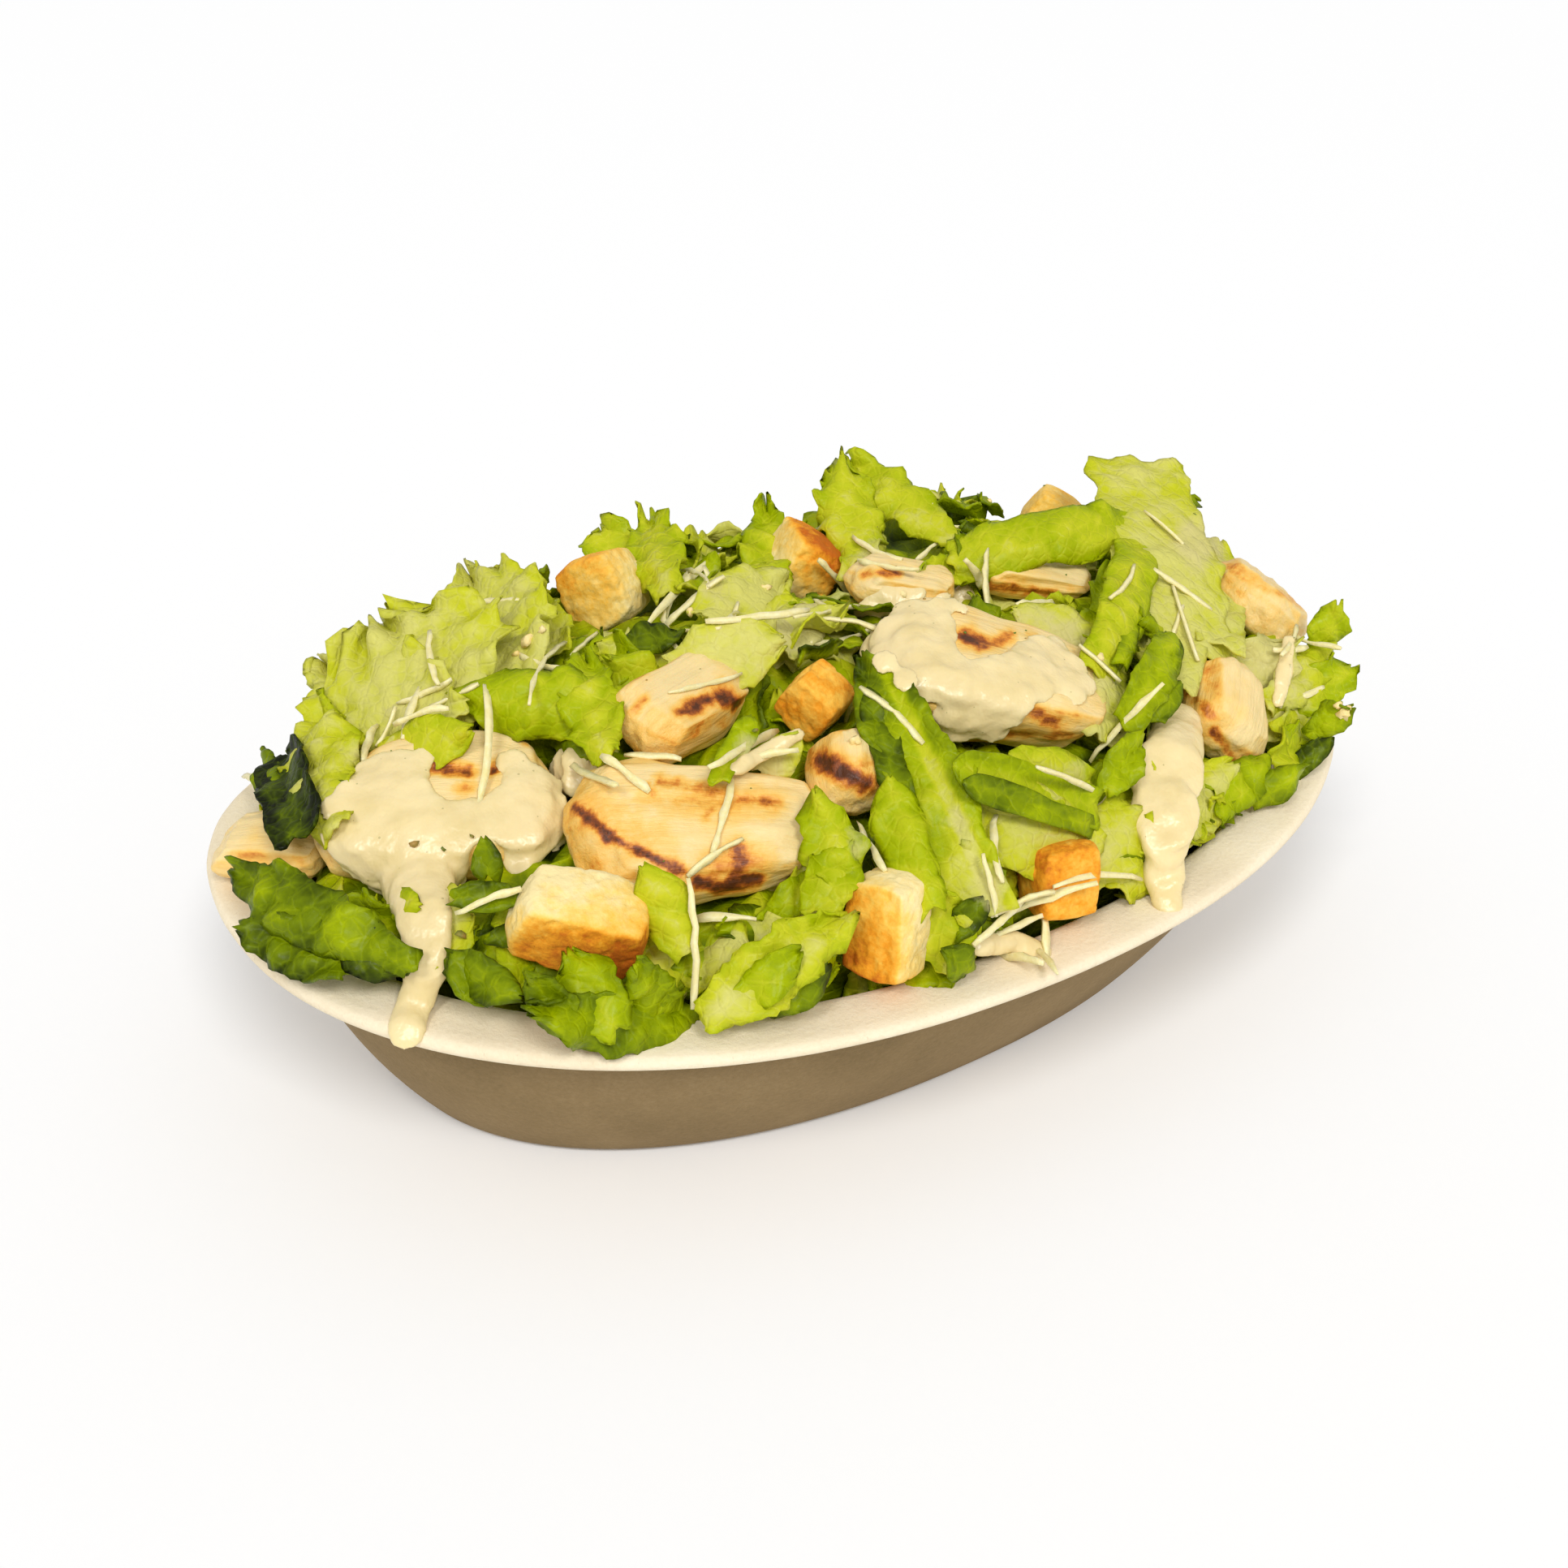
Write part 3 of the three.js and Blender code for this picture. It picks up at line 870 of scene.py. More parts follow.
# lettuce
leafForm = {
    "step": 1.05,  # mm between the vertices of a leaf
    "thickness": 0.45,
    "ribDepth": 0.9,
    "veinDepth": 0.12,
    "lobePitch": 6.5,
    "rufflePitch": 9.0,
    "nickPitch": 2.4,  # the finer teeth between the lobes
    "nick": 0.3,
    "ribClearance": 9.0,  # how far beside a ribless piece its rib would be
    "fullWidth": 14,  # narrower leaves have shallower teeth and ruffles
    "drawn": {"bend": (-0.6, 1.3), "cup": (-0.8, 1.2)},  # shares of the cut's value that chance gives
}
leafCuts = {  # how the torn pieces differ; blunt is where along the leaf its end begins to narrow
    name: dict(zip(("jag", "ruffle", "pucker", "cup", "bend", "foot", "lie", "blunt", "fold"), values))
    for name, values in {
        "frilled": (3.0, 2.6, 1.5, 0.5, 0.5, 0.55, 0.35, 0.5, 0.2),
        "heart": (1.5, 1.1, 1.0, 0.4, 0.4, 0.6, 0.3, 0.5, 0.25),
        "outer": (1.6, 1.4, 1.7, 0.3, 0.4, 0.5, 0.4, 0.5, 0.3),
        "ribbon": (1.1, 0.8, 1.1, 0.15, 0.3, 0.8, 0.3, 0.65, 0.45),
        "plank": (0.3, 0.3, 0.6, 0.1, 0.15, 0.95, 0.3, 0.88, 0.4),
        "sheet": (0.7, 0.7, 0.9, 0.3, 0.3, 0.85, 0.3, 0.76, 0.15),
    }.items()
}
leafPlain = {"milk": 0.0, "rib": False, "film": None, "tipTone": 0.1, "end": 0.16}  # unless its row says so

filmSpots = [  # where dressing clings to the leaves: pixel, reach in pixels, strength
    ((1475, 668), 34, 0.9), ((1235, 800), 40, 0.5), ((1310, 800), 40, 0.4), ((1560, 800), 45, 0.45),
    ((1590, 860), 30, 0.4), ((1500, 890), 30, 0.5), ((1330, 950), 26, 0.4), ((1180, 1010), 24, 0.35),
    ((1060, 1040), 24, 0.45), ((1225, 1090), 30, 0.6), ((490, 880), 26, 0.4), ((440, 930), 26, 0.4),
    ((1000, 770), 34, 0.7), ((1080, 700), 46, 0.6), ((1130, 745), 36, 0.6), ((880, 725), 26, 0.5),
    ((930, 935), 34, 0.6), ((600, 1115), 26, 0.4), ((1440, 960), 40, 0.5),
]


def filmAt(point):
    pixel = pixelOf(point)
    film = 0.0
    for centre, reach, strength in filmSpots:
        away = math.dist(pixel, centre) / reach
        if away < 2:
            film += strength * math.exp(-away * away)
    return film


def layersOf(bm):
    floats = bm.verts.layers.float
    return bm.loops.layers.uv.new("leaf"), floats.new("tone"), floats.new("milk")


def leafForTearing(cut, seed, chord, width, changes):  # everything that is the same over one torn leaf
    chance = random.Random(seed)
    leaf = {**leafPlain, **leafCuts[cut], "bend": None, "cup": None, **changes, "seed": seed, "width": width}
    for key, (low, high) in leafForm["drawn"].items():
        if leaf[key] is None:
            leaf[key] = leafCuts[cut][key] * chance.uniform(low, high)
    if abs(leaf["bend"]) < 0.05:
        leaf["bend"] = 0.05
    leaf["radius"] = chord / 2 / math.sin(leaf["bend"] / 2)
    leaf["length"] = leaf["radius"] * leaf["bend"]
    leaf["origin"] = Vector([chance.uniform(0, 90) for _ in range(3)])
    leaf["twist"] = chance.uniform(-0.5, 0.5)
    ribOff = chance.uniform(-0.3, 0.3) * width
    leaf["ribOff"] = ribOff if leaf["rib"] else math.copysign(width / 2 + leafForm["ribClearance"], ribOff)
    leaf["phases"] = [chance.uniform(0, 6.3) for _ in range(4)]
    leaf["jag"] *= min(1.0, width / leafForm["fullWidth"])
    leaf["ruffle"] *= min(1.0, width / leafForm["fullWidth"])
    leaf["crease"] = leaf["fold"] * math.sin(seed * 1.7)
    leaf["creaseOff"] = width * 0.25 * math.sin(seed * 2.3)
    return leaf


def toothAt(place):  # 0 to 1 and back in each step of 1
    return abs(2 * (place - math.floor(place + 0.5)))


def tornEdge(leaf, s, t, side, waver):  # half width at s along the leaf, and mm along it at t across
    form, phases, origin = leafForm, leaf["phases"], leaf["origin"]
    length, width, jag = leaf["length"], leaf["width"], leaf["jag"]
    opening = mix(leaf["foot"], 1.0, smooth(0.0, 0.4, s))
    ending = max(0.0, (s - leaf["blunt"]) / (1 - leaf["blunt"]))
    closing = max(0.0, 1 - ending**2.2) ** 0.75
    half = width / 2 * opening * max(leaf["end"], closing) * (1 + 0.28 * waver)
    lobe = s * length / form["lobePitch"] + phases[0] + side
    depth = 0.45 + 0.9 * noise.noise(origin + Vector((lobe * 0.7, side * 5.0, 4.0)))
    half += jag * (toothAt(lobe) ** 1.4 * depth - 0.25) * smooth(0.02, 0.2, s)
    nick = s * length / form["nickPitch"] + phases[3] + side * 0.4
    half += jag * form["nick"] * toothAt(nick) * smooth(0.02, 0.2, s)
    endLobe = t * width / form["lobePitch"] * 0.9 + phases[1]
    ragged = noise.noise(origin + Vector((t * width / 6, 0, 9.0)))
    run = s * length + jag * (toothAt(endLobe) ** 1.4 - 0.3) * smooth(0.75, 1.0, s)
    return half, run + 2.2 * ragged * (1 - smooth(0.0, 0.25, s))


def leafRelief(leaf, s, t, run, y, side, waver):  # height over its plain bend, and how hilly it is there
    form, origin, phases = leafForm, leaf["origin"], leaf["phases"]
    place = Vector((run, y, 0))
    ribAway = abs(y - leaf["ribOff"])
    ribValley = math.exp(-((ribAway / mix(2.0, 0.9, s)) ** 2))
    order = (run - ribAway * leafPattern["veinSlant"]) / leafPattern["veinPitch"]
    vein = math.exp(-(((order - round(order)) / 0.11) ** 2)) * (1 - ribValley)
    hills = abs(noise.noise(origin + place / 6.0)) + 0.5 * abs(noise.noise(origin + place / 3.0))
    z = leaf["pucker"] * (hills * 1.6 + 0.7 * noise.noise(origin + place / 11))
    z -= form["ribDepth"] * ribValley + form["veinDepth"] * vein
    z += leaf["crease"] * abs(y - leaf["creaseOff"])
    wave = math.sin(2 * math.pi * run / form["rufflePitch"] + phases[2] + side)
    z += leaf["ruffle"] * abs(t) ** 2.4 * wave * (0.7 + waver)
    z += leaf["ruffle"] * smooth(0.6, 1.0, s) * math.sin(t * leaf["width"] / 3.2 + phases[3]) * 0.8
    return z, hills


def addLeaf(bm, layers, foot, tip, facing, width, tone, cut, seed, changes):
    axis = tip - foot
    chord = axis.length
    ax = axis.normalized()
    ay = facing.cross(ax).normalized()
    az = ax.cross(ay)
    leaf = leafForTearing(cut, seed, chord, width, changes)
    bend, cup, radius = leaf["bend"], leaf["cup"], leaf["radius"]
    columns = max(8, round(leaf["length"] / leafForm["step"]))
    rows = max(6, round(width / leafForm["step"]))
    grid = bmesh.ops.create_grid(bm, x_segments=columns, y_segments=rows, size=1.0)["verts"]
    uvLayer, toneLayer, milkLayer = layers
    sheet = {}
    for vert in grid:
        s, t = (vert.co.x + 1) / 2, vert.co.y
        side = 1 if t > 0 else -1
        waver = noise.noise(leaf["origin"] + Vector((s * leaf["length"] / 9, side * 3.0, 0)))
        half, run = tornEdge(leaf, s, t, side, waver)
        y = half * t
        z, hills = leafRelief(leaf, s, t, run, y, side, waver)
        if abs(cup) > 0.05:
            z += half / cup * (math.cos(cup * t) - 1)
            y = half / cup * math.sin(cup * t)
        roll = leaf["twist"] * (s - 0.5)
        y, z = y * math.cos(roll) - z * math.sin(roll), y * math.sin(roll) + z * math.cos(roll)
        turn = bend * (run / leaf["length"] - 0.5)
        x = chord / 2 + radius * math.sin(turn) + z * math.sin(turn)
        high = radius * (math.cos(turn) - math.cos(bend / 2)) + z * math.cos(turn)
        vert.co = insideBowl(foot + ax * x + ay * y + az * high)
        # the puckering's crests are painted paler and its hollows darker, as painted shade; the edge and tip
        # terms are the leaf's own tone
        tint = tone + 0.16 * (abs(t) - 0.5) + leaf["tipTone"] * (s - 0.5) + 0.25 * (0.28 - hills)
        vert[toneLayer] = min(1.0, max(0.0, tint))
        vert[milkLayer] = leaf["milk"] + (filmAt(vert.co) if leaf["film"] is None else leaf["film"])
        across = (half * t - leaf["ribOff"]) / leafPattern["sheet"]
        sheet[vert] = (run / leafPattern["sheet"], 0.5 + across)
    for face in {face for vert in grid for face in vert.link_faces}:
        for loop in face.loops:
            loop[uvLayer].uv = sheet[loop.vert]


def moundNormal(point):  # the heap's general slope, without its bumps
    return Vector((point.x / mouth**2, point.y / (bowl["width"] / 2) ** 2, 0.0085)).normalized()


def depthOver(tree, pixel):
    hit = tree.ray_cast(eye, rayThrough(pixel))
    return hit[3] if hit[0] else None


def pixelPoint(pixel, towards, lift, tree):  # over the surface at a pixel, or level with it beside the heap
    for share in (0.0, 0.15, 0.3, 0.45, 0.6, 0.8, 1.0):
        probe = (mix(pixel[0], towards[0], share), mix(pixel[1], towards[1], share))
        depth = depthOver(tree, probe)
        if depth and depth < view["farthest"]:
            break
    return eye + rayThrough(pixel) * ((depth or view["level"]) - lift)


shownLeaves = [  # foot and tip pixel, width, lift towards the eye (mm), tone, cut, and what differs from it
    # left end
    ((550, 915), (468, 772), 42, 4, 0.13, "frilled", {"bend": 0.35, "cup": 0.25, "milk": -0.12}),
    ((640, 860), (580, 708), 25, 2, 0.14, "frilled", {"bend": 0.3, "milk": -0.1}),
    ((560, 900), (400, 815), 20, 5, 0.08, "frilled", {"bend": 0.2}),
    ((415, 1025), (392, 872), 14, 6, 0.22, "frilled", {"cup": 0.6}),
    ((470, 945), (580, 900), 12, 5, 0.28, "heart", {}),
    # a dark outer leaf, its near-black tone partly painted shade in its cupped hollow
    ((376, 1034), (354, 930), 12, 11, 1.0, "sheet", {"cup": -0.5, "milk": -0.3}),
    ((352, 1016), (324, 924), 6, 6, 0.72, "outer", {"milk": -0.3}),
    ((510, 1192), (286, 1068), 11, 9, 0.74, "outer", {"bend": 0.7, "cup": 0.4, "milk": -0.1, "over": True}),
    # two dark pieces under it, over the rim: their darkness is partly painted shade under the leaf above
    ((440, 1192), (300, 1140), 11, 5, 0.80, "outer", {"milk": -0.3}),
    ((500, 1195), (420, 1150), 9, 5, 0.98, "outer", {"milk": -0.3}),
    ((450, 985), (425, 965), 6, 5, 0.6, "ribbon", {}),
    # behind the left chicken
    ((772, 876), (560, 860), 15, 8, 0.48, "heart", {"bend": 0.9, "cup": 0.9, "milk": -0.2}),
    ((748, 940), (718, 812), 11, 7, 0.42, "frilled", {}),
    ((806, 870), (748, 816), 12, 5, 0.40, "frilled", {}),
    ((690, 805), (640, 735), 12, 3, 0.20, "frilled", {}),
    ((826, 738), (800, 644), 11, -2, 0.34, "frilled", {"bend": 0.5}),
    ((768, 700), (742, 650), 11, -12, 0.34, "frilled", {}),
    ((852, 735), (842, 682), 10, 0, 0.46, "frilled", {}),
    ((770, 800), (838, 780), 7, 4, 0.8, "outer", {}),
    # the pale pair in the middle and the peak
    ((862, 770), (966, 715), 15, 8, 0.12, "heart", {"bend": 0.3}),
    ((828, 832), (962, 790), 14, 10, 0.08, "heart", {"bend": 0.3}),
    ((950, 725), (945, 622), 11, -2, 0.44, "frilled", {}),
    ((965, 806), (1012, 748), 9, 5, 0.10, "heart", {"milk": 0.35, "over": True}),
    ((1062, 700), (1036, 568), 14, 1, 0.32, "frilled", {"cup": 0.9}),
    ((1172, 672), (1048, 572), 11, 4, 0.32, "frilled", {"cup": 0.4}),
    ((1046, 712), (1082, 655), 7, 3, 0.24, "heart", {}),
    # the folded green leaf and the tall one behind it
    ((1172, 692), (1408, 652), 14, 9, 0.42, "sheet", {"bend": 0.9, "cup": 0.8, "milk": -0.3}),
    ((1352, 835), (1402, 660), 11, 10, 0.40, "sheet", {"bend": 0.6, "cup": 0.7, "milk": -0.2}),
    # a narrow dark strip along the tall leaf's fold: painted shade in its crease
    ((1378, 822), (1414, 690), 4, 17, 0.66, "plank", {"milk": -0.2}),
    ((1236, 716), (1176, 664), 8, 13, 0.7, "outer", {"milk": -0.2}),
    ((1204, 702), (1126, 715), 8, 7, 0.36, "frilled", {}),
    ((1462, 805), (1398, 568), 25, 1, 0.12, "sheet", {"bend": 0.3, "cup": 0.3, "blunt": 0.9, "end": 0.92}),
    ((1500, 800), (1500, 668), 12, -1, 0.16, "sheet", {"bend": 0.3}),
    ((1442, 840), (1450, 672), 15, 7, 0.06, "sheet", {"bend": 0.3, "rib": True}),
    ((1500, 800), (1480, 700), 12, 5, 0.10, "sheet", {"bend": 0.3}),
    # right end
    ((1622, 806), (1645, 744), 8, 3, 0.40, "frilled", {}),
    ((1560, 870), (1640, 800), 10, 3, 0.26, "frilled", {}),
    ((1590, 875), (1664, 822), 9, 4, 0.44, "frilled", {}),
    ((1570, 905), (1640, 862), 9, 3, 0.36, "frilled", {}),
    ((1615, 905), (1666, 868), 7, 4, 0.62, "frilled", {}),
    ((1545, 900), (1612, 872), 9, 4, 0.2, "heart", {"milk": 0.2}),
    ((1560, 935), (1618, 900), 8, 3, 0.4, "frilled", {}),
    # a dark strip along the rim: partly brown leaf edge, partly painted shade between the leaves and the rim
    ((1572, 966), (1640, 906), 5, 0, 0.86, "ribbon", {"milk": -0.3}),
    ((1540, 990), (1604, 948), 6, 1, 0.6, "frilled", {"milk": -0.3}),
    ((1500, 1006), (1552, 934), 8, 1, 0.54, "outer", {}),
    ((1500, 850), (1590, 795), 11, 2, 0.24, "frilled", {"milk": 0.25}),
    ((1388, 892), (1438, 784), 8, 9, 0.54, "ribbon", {"bend": 0.8}),
    ((1426, 850), (1452, 786), 5, 11, 0.72, "ribbon", {"bend": 0.6}),
    ((1420, 890), (1446, 845), 5, 10, 0.76, "ribbon", {}),
    ((1358, 985), (1402, 905), 8, 8, 0.52, "outer", {}),
    ((1350, 905), (1366, 790), 10, 3, 0.16, "heart", {"milk": 0.3}),
    ((1345, 790), (1248, 752), 10, 4, 0.18, "heart", {"milk": 0.25}),
    # in front of the right chicken
    ((1350, 998), (1172, 944), 8, 12, 0.48, "plank", {"milk": -0.1}),
    ((1342, 1018), (1186, 964), 5, 13, 0.70, "plank", {"milk": -0.1}),
    ((1345, 1072), (1180, 975), 17, 5, 0.20, "sheet", {"bend": 0.4}),
    ((1345, 962), (1240, 930), 7, 8, 0.36, "heart", {}),
    ((1212, 1132), (1064, 812), 14, 10, 0.54, "ribbon",
     {"bend": 0.4, "cup": 0.3, "rib": True, "over": True, "tipTone": 0.6}),
    ((1128, 1052), (1068, 850), 6, 8, 0.80, "ribbon", {"over": True}),
    ((1140, 1130), (1096, 960), 9, 6, 0.42, "ribbon", {"over": True}),
    ((1042, 1102), (1006, 978), 10, 6, 0.38, "frilled", {"over": True}),
    ((1000, 1130), (1046, 1040), 9, 5, 0.42, "frilled", {"over": True}),
    # front right
    ((1330, 1078), (1404, 1000), 15, 4, 0.18, "heart", {}),
    ((1462, 1012), (1522, 942), 13, 4, 0.12, "heart", {}),
    ((1458, 1078), (1520, 1032), 7, 3, 0.62, "outer", {}),
    ((1520, 1030), (1490, 985), 9, 3, 0.22, "heart", {}),
    ((1380, 1100), (1430, 1040), 11, 3, 0.28, "heart", {}),
    ((1172, 1198), (1144, 1088), 10, 6, 0.36, "frilled", {}),
    ((1176, 1150), (1212, 1108), 6, 6, 0.82, "outer", {}),
    ((1190, 1195), (1160, 1170), 6, 7, 0.68, "outer", {}),
    ((1220, 1110), (1180, 1040), 9, 5, 0.24, "heart", {"milk": 0.3}),
    # front left, over the rim
    ((850, 1176), (792, 1068), 9, 2, 0.36, "heart", {}),
    ((866, 1268), (655, 1246), 12, 8, 0.68, "frilled", {"bend": 0.5, "cup": 0.7, "milk": -0.3}),
    ((760, 1275), (704, 1176), 10, 10, 0.56, "frilled", {"milk": -0.3}),
    ((830, 1270), (782, 1186), 9, 10, 0.58, "frilled", {"milk": -0.3}),
    ((700, 1262), (652, 1200), 8, 9, 0.72, "frilled", {"milk": -0.3}),
    ((864, 1255), (1042, 1130), 12, 8, 0.28, "frilled", {"bend": 0.4, "milk": -0.3}),
    # a dark piece on the right of the long bright leaf: painted shade among its folds
    ((950, 1242), (1016, 1184), 8, 8, 0.86, "outer", {"milk": -0.3}),
    ((906, 1240), (986, 1172), 7, 10, 0.44, "frilled", {"milk": -0.3}),
    ((606, 1086), (600, 1036), 5, 6, 0.76, "outer", {"milk": -0.3, "over": True}),
    ((558, 1106), (642, 1108), 6, 6, 0.80, "outer", {"milk": -0.3}),
    ((600, 1156), (652, 1150), 4, 5, 0.80, "outer", {"milk": -0.3}),
    ((552, 1182), (646, 1230), 8, 5, 0.82, "outer", {"milk": -0.3}),
    ((600, 1236), (560, 1176), 6, 4, 0.76, "outer", {"milk": -0.3}),
    ((885, 965), (926, 884), 5, 6, 0.50, "ribbon", {}),
    ((940, 960), (985, 905), 8, 4, 0.2, "heart", {"milk": 0.3}),
]


def addShownLeaves(bm, layers):
    for index, (footPixel, tipPixel, width, lift, tone, cut, changes) in enumerate(shownLeaves):
        changes = dict(changes)
        tree = solidTree if changes.pop("over", False) else heapTree
        foot = pixelPoint(footPixel, tipPixel, lift * 0.5, tree)
        tip = pixelPoint(tipPixel, footPixel, lift, tree)
        lie = leafCuts[cut]["lie"]
        facing = (toCamera * (1 - lie) + moundNormal((foot + tip) / 2) * lie).normalized()
        widen = 0.9 / max(0.7, facing.dot(toCamera))
        addLeaf(bm, layers, foot, tip, facing, width * widen, tone, cut, 100 + index, changes)


fillLeaves = {
    "seed": 11,
    "spots": 390,
    "spread": (108, 73),  # half the length and width of the area with spots
    "tries": 9,
    "shrink": 0.07,  # of the size, with every further try
    "length": (12.0, 30.0),
    "width": (8.0, 19.0),
    "sink": (0.5, 4.5),
    "tilt": (-0.1, 0.55),
    "tipOver": 2,  # least mm from the flange up to a tip
    "tipReach": (113, 78),
    "footReach": (108, 73),
    "cuts": ("frilled", "frilled", "heart", "outer", "frilled", "ribbon"),
    "ribbed": 0.3,
    "tones": (0.4, 0.2),  # middle and spread
    "pieces": 3,
}
edgeLeaves = {  # round the mouth, lying out towards the flange
    "count": 190,
    "tries": 4,
    "shrink": 0.15,
    "spread": (107, 72),
    "reach": (0.955, 1.0),
    "rise": (1.0, 7.0),  # mm from the flange to a tip
    "lowRise": 4,  # tips below this, on the far side, can't hide a topping
    "droop": (0.3, 1.2),
    "length": (11, 20),
    "width": (7, 14),
}
leafLimits = {
    "overlap": 2,  # how many of its 15 test points may lie in front of chosen leaves
    "behind": 2.0,  # mm that the others keep behind them
    "farSlope": 12.0,  # mm behind the food's near surface from which a leaf can't hide anything from the eye
    "overFood": 9,  # mm under a leaf in which there is no topping
    "margin": 2.0,  # mm kept inside the heap's outline as the eye sees it
    "backMargin": 0.5,  # the same for leaves on the far slope
}


def hidesTopping(points, normal):  # from the eye, or from straight over the food
    for point in points:
        beyond = (point - eye).length
        direction = (point - eye) / beyond
        away = toppingTree.ray_cast(eye, direction)[3]
        behindHeap = (solidTree.ray_cast(eye, direction)[3] or beyond) < beyond - leafLimits["farSlope"]
        if away and away > beyond - 0.5 and not behindHeap:
            return True
        if toppingTree.ray_cast(point + normal * 2, -normal, leafLimits["overFood"])[0]:
            return True
    return False


def hidesShown(points):  # a chosen leaf from the eye
    hidden = 0
    for point in points:
        away = shownTree.ray_cast(eye, point - eye)[3]
        hidden += bool(away and away > (point - eye).length - leafLimits["behind"])
    return hidden > leafLimits["overlap"]


def passesOutline(points, margin):  # beyond the heap's outline for the eye, where only chosen leaves reach
    return any(not solidTree.ray_cast(eye, point + viewUp * margin - eye)[0] for point in points)


def outlineMargin(nearSide):
    return leafLimits["margin"] if nearSide else leafLimits["backMargin"]


def leafPoints(foot, tip, facing, width):
    along = (tip - foot).normalized()
    side = facing.cross(along).normalized() * width / 2
    return [foot.lerp(tip, quarter / 4) + side * step for quarter in range(5) for step in (-1, 0, 1)]


def outside(point, reach):  # the oval with these half sizes
    return math.hypot(point.x / reach[0], point.y / reach[1]) > 1.0


def onOval(reach, share, angle, z=0):
    return Vector((reach[0] * share * math.cos(angle), reach[1] * share * math.sin(angle), z))


def randomTone(chance):
    return min(0.95, max(0.05, chance.gauss(*fillLeaves["tones"])))


def addFillLeaf(bm, layers, chance, spot, slope, shrink, seed):
    form = fillLeaves
    normal = (moundNormal(spot) * 0.6 + slope * 0.4).normalized()
    nearSide = normal.dot(toCamera) > 0.3
    heading = Vector((chance.gauss(0, 1), chance.gauss(0, 1), chance.gauss(0, 1)))
    along = (heading - normal * heading.dot(normal)).normalized()
    tilt = chance.uniform(*form["tilt"]) * (1.0 if nearSide else 0.5)
    along = (along * math.cos(tilt) + normal * math.sin(tilt)).normalized()
    length = chance.uniform(*form["length"]) * shrink
    width = min(length * 0.9, chance.uniform(*form["width"]) * shrink)
    foot = spot - normal * chance.uniform(*form["sink"]) - along * length * 0.4
    tip = foot + along * length
    facing = (normal + Vector((chance.gauss(0, 0.3), chance.gauss(0, 0.3), 0))).normalized()
    points = leafPoints(foot, tip, facing, width)
    if tip.z < rimUnder(tip) + form["tipOver"]:
        return False
    if outside(tip, form["tipReach"]) or outside(foot, form["footReach"]):
        return False
    if passesOutline(points, outlineMargin(nearSide)) or hidesTopping(points, normal) or hidesShown(points):
        return False
    cut = chance.choice(form["cuts"])
    changes = {"film": filmAt((foot + tip) / 2), "rib": chance.random() < form["ribbed"]}
    addLeaf(bm, layers, foot, tip, facing, width, randomTone(chance), cut, seed, changes)
    return True


def addFillLeaves(bm, layers, chance, first):  # spots wind outwards over the heap in a sunflower's pattern
    form = fillLeaves
    made = 0
    for index in range(first, form["spots"], form["pieces"]):
        angle, share = index * goldenAngle, math.sqrt((index + 0.5) / form["spots"]) * 0.98
        above = onOval(form["spread"], share, angle, overhead)
        spot, slope = heapTree.ray_cast(above, Vector((0, 0, -1)))[:2]
        for attempt in range(form["tries"] if spot else 0):
            shrink, seed = 1 - form["shrink"] * attempt, 1000 + index * 10 + attempt
            if addFillLeaf(bm, layers, chance, spot, slope, shrink, seed):
                made += 1
                break
    return made


def addEdgeLeaf(bm, layers, chance, angle, shrink, seed):
    form = edgeLeaves
    outward = Vector((math.cos(angle) / 1.15, math.sin(angle), 0)).normalized()
    tip = onOval(form["spread"], chance.uniform(*form["reach"]), angle)
    rise = chance.uniform(*form["rise"])
    tip.z = rimUnder(tip) + rise
    stray = Vector((chance.gauss(0, 0.4), chance.gauss(0, 0.4), -chance.uniform(*form["droop"])))
    foot = tip - (outward + stray).normalized() * (chance.uniform(*form["length"]) * shrink)
    facing = (moundNormal(tip) + outward * 0.5 + Vector((0, 0, 0.3))).normalized()
    width = chance.uniform(*form["width"]) * shrink
    points = leafPoints(foot, tip, facing, width)
    nearSide = outward.dot(toCamera) > -0.2
    if (nearSide or rise > form["lowRise"]) and hidesTopping(points, facing):
        return False
    if hidesShown(points) or passesOutline(points, outlineMargin(nearSide)):
        return False
    addLeaf(bm, layers, foot, tip, facing, width, randomTone(chance), "frilled", seed, {"film": 0.0})
    return True


def addEdgeLeaves(bm, layers, chance):
    form = edgeLeaves
    for index in range(form["count"]):
        angle = 2 * math.pi * (index + chance.uniform(-0.3, 0.3)) / form["count"]
        for attempt in range(form["tries"]):
            shrink, seed = 1 - form["shrink"] * attempt, 5000 + index * 4 + attempt
            if addEdgeLeaf(bm, layers, chance, angle, shrink, seed):
                break


def leafPiece(bm, name):
    piece = finish(bm, name, lettuce)
    solid = piece.modifiers.new("thickness", "SOLIDIFY")
    solid.thickness = leafForm["thickness"] * mm
    solid.offset = 0.0
    return piece


def makeShownLeaves():
    bm = bmesh.new()
    addShownLeaves(bm, layersOf(bm))
    return leafPiece(bm, "lettuceTop")


shownPiece = makeShownLeaves()
shownTree = treeOf([shownPiece])
print("chosen leaves laid")


def makeFillLeaves():
    pieces = []
    chance = random.Random(fillLeaves["seed"])
    for part in range(fillLeaves["pieces"]):
        bm = bmesh.new()
        print("loose leaves", addFillLeaves(bm, layersOf(bm), chance, part))
        pieces.append(leafPiece(bm, f"lettuceFill{part + 1}"))
    bm = bmesh.new()
    addEdgeLeaves(bm, layersOf(bm), chance)
    pieces.append(leafPiece(bm, "lettuceEdge"))
    return pieces


leafPieces = [shownPiece] + makeFillLeaves()
coverTree = treeOf([cad["bowl"], innerLeaves] + toppings + leafPieces)
print("lettuce made")

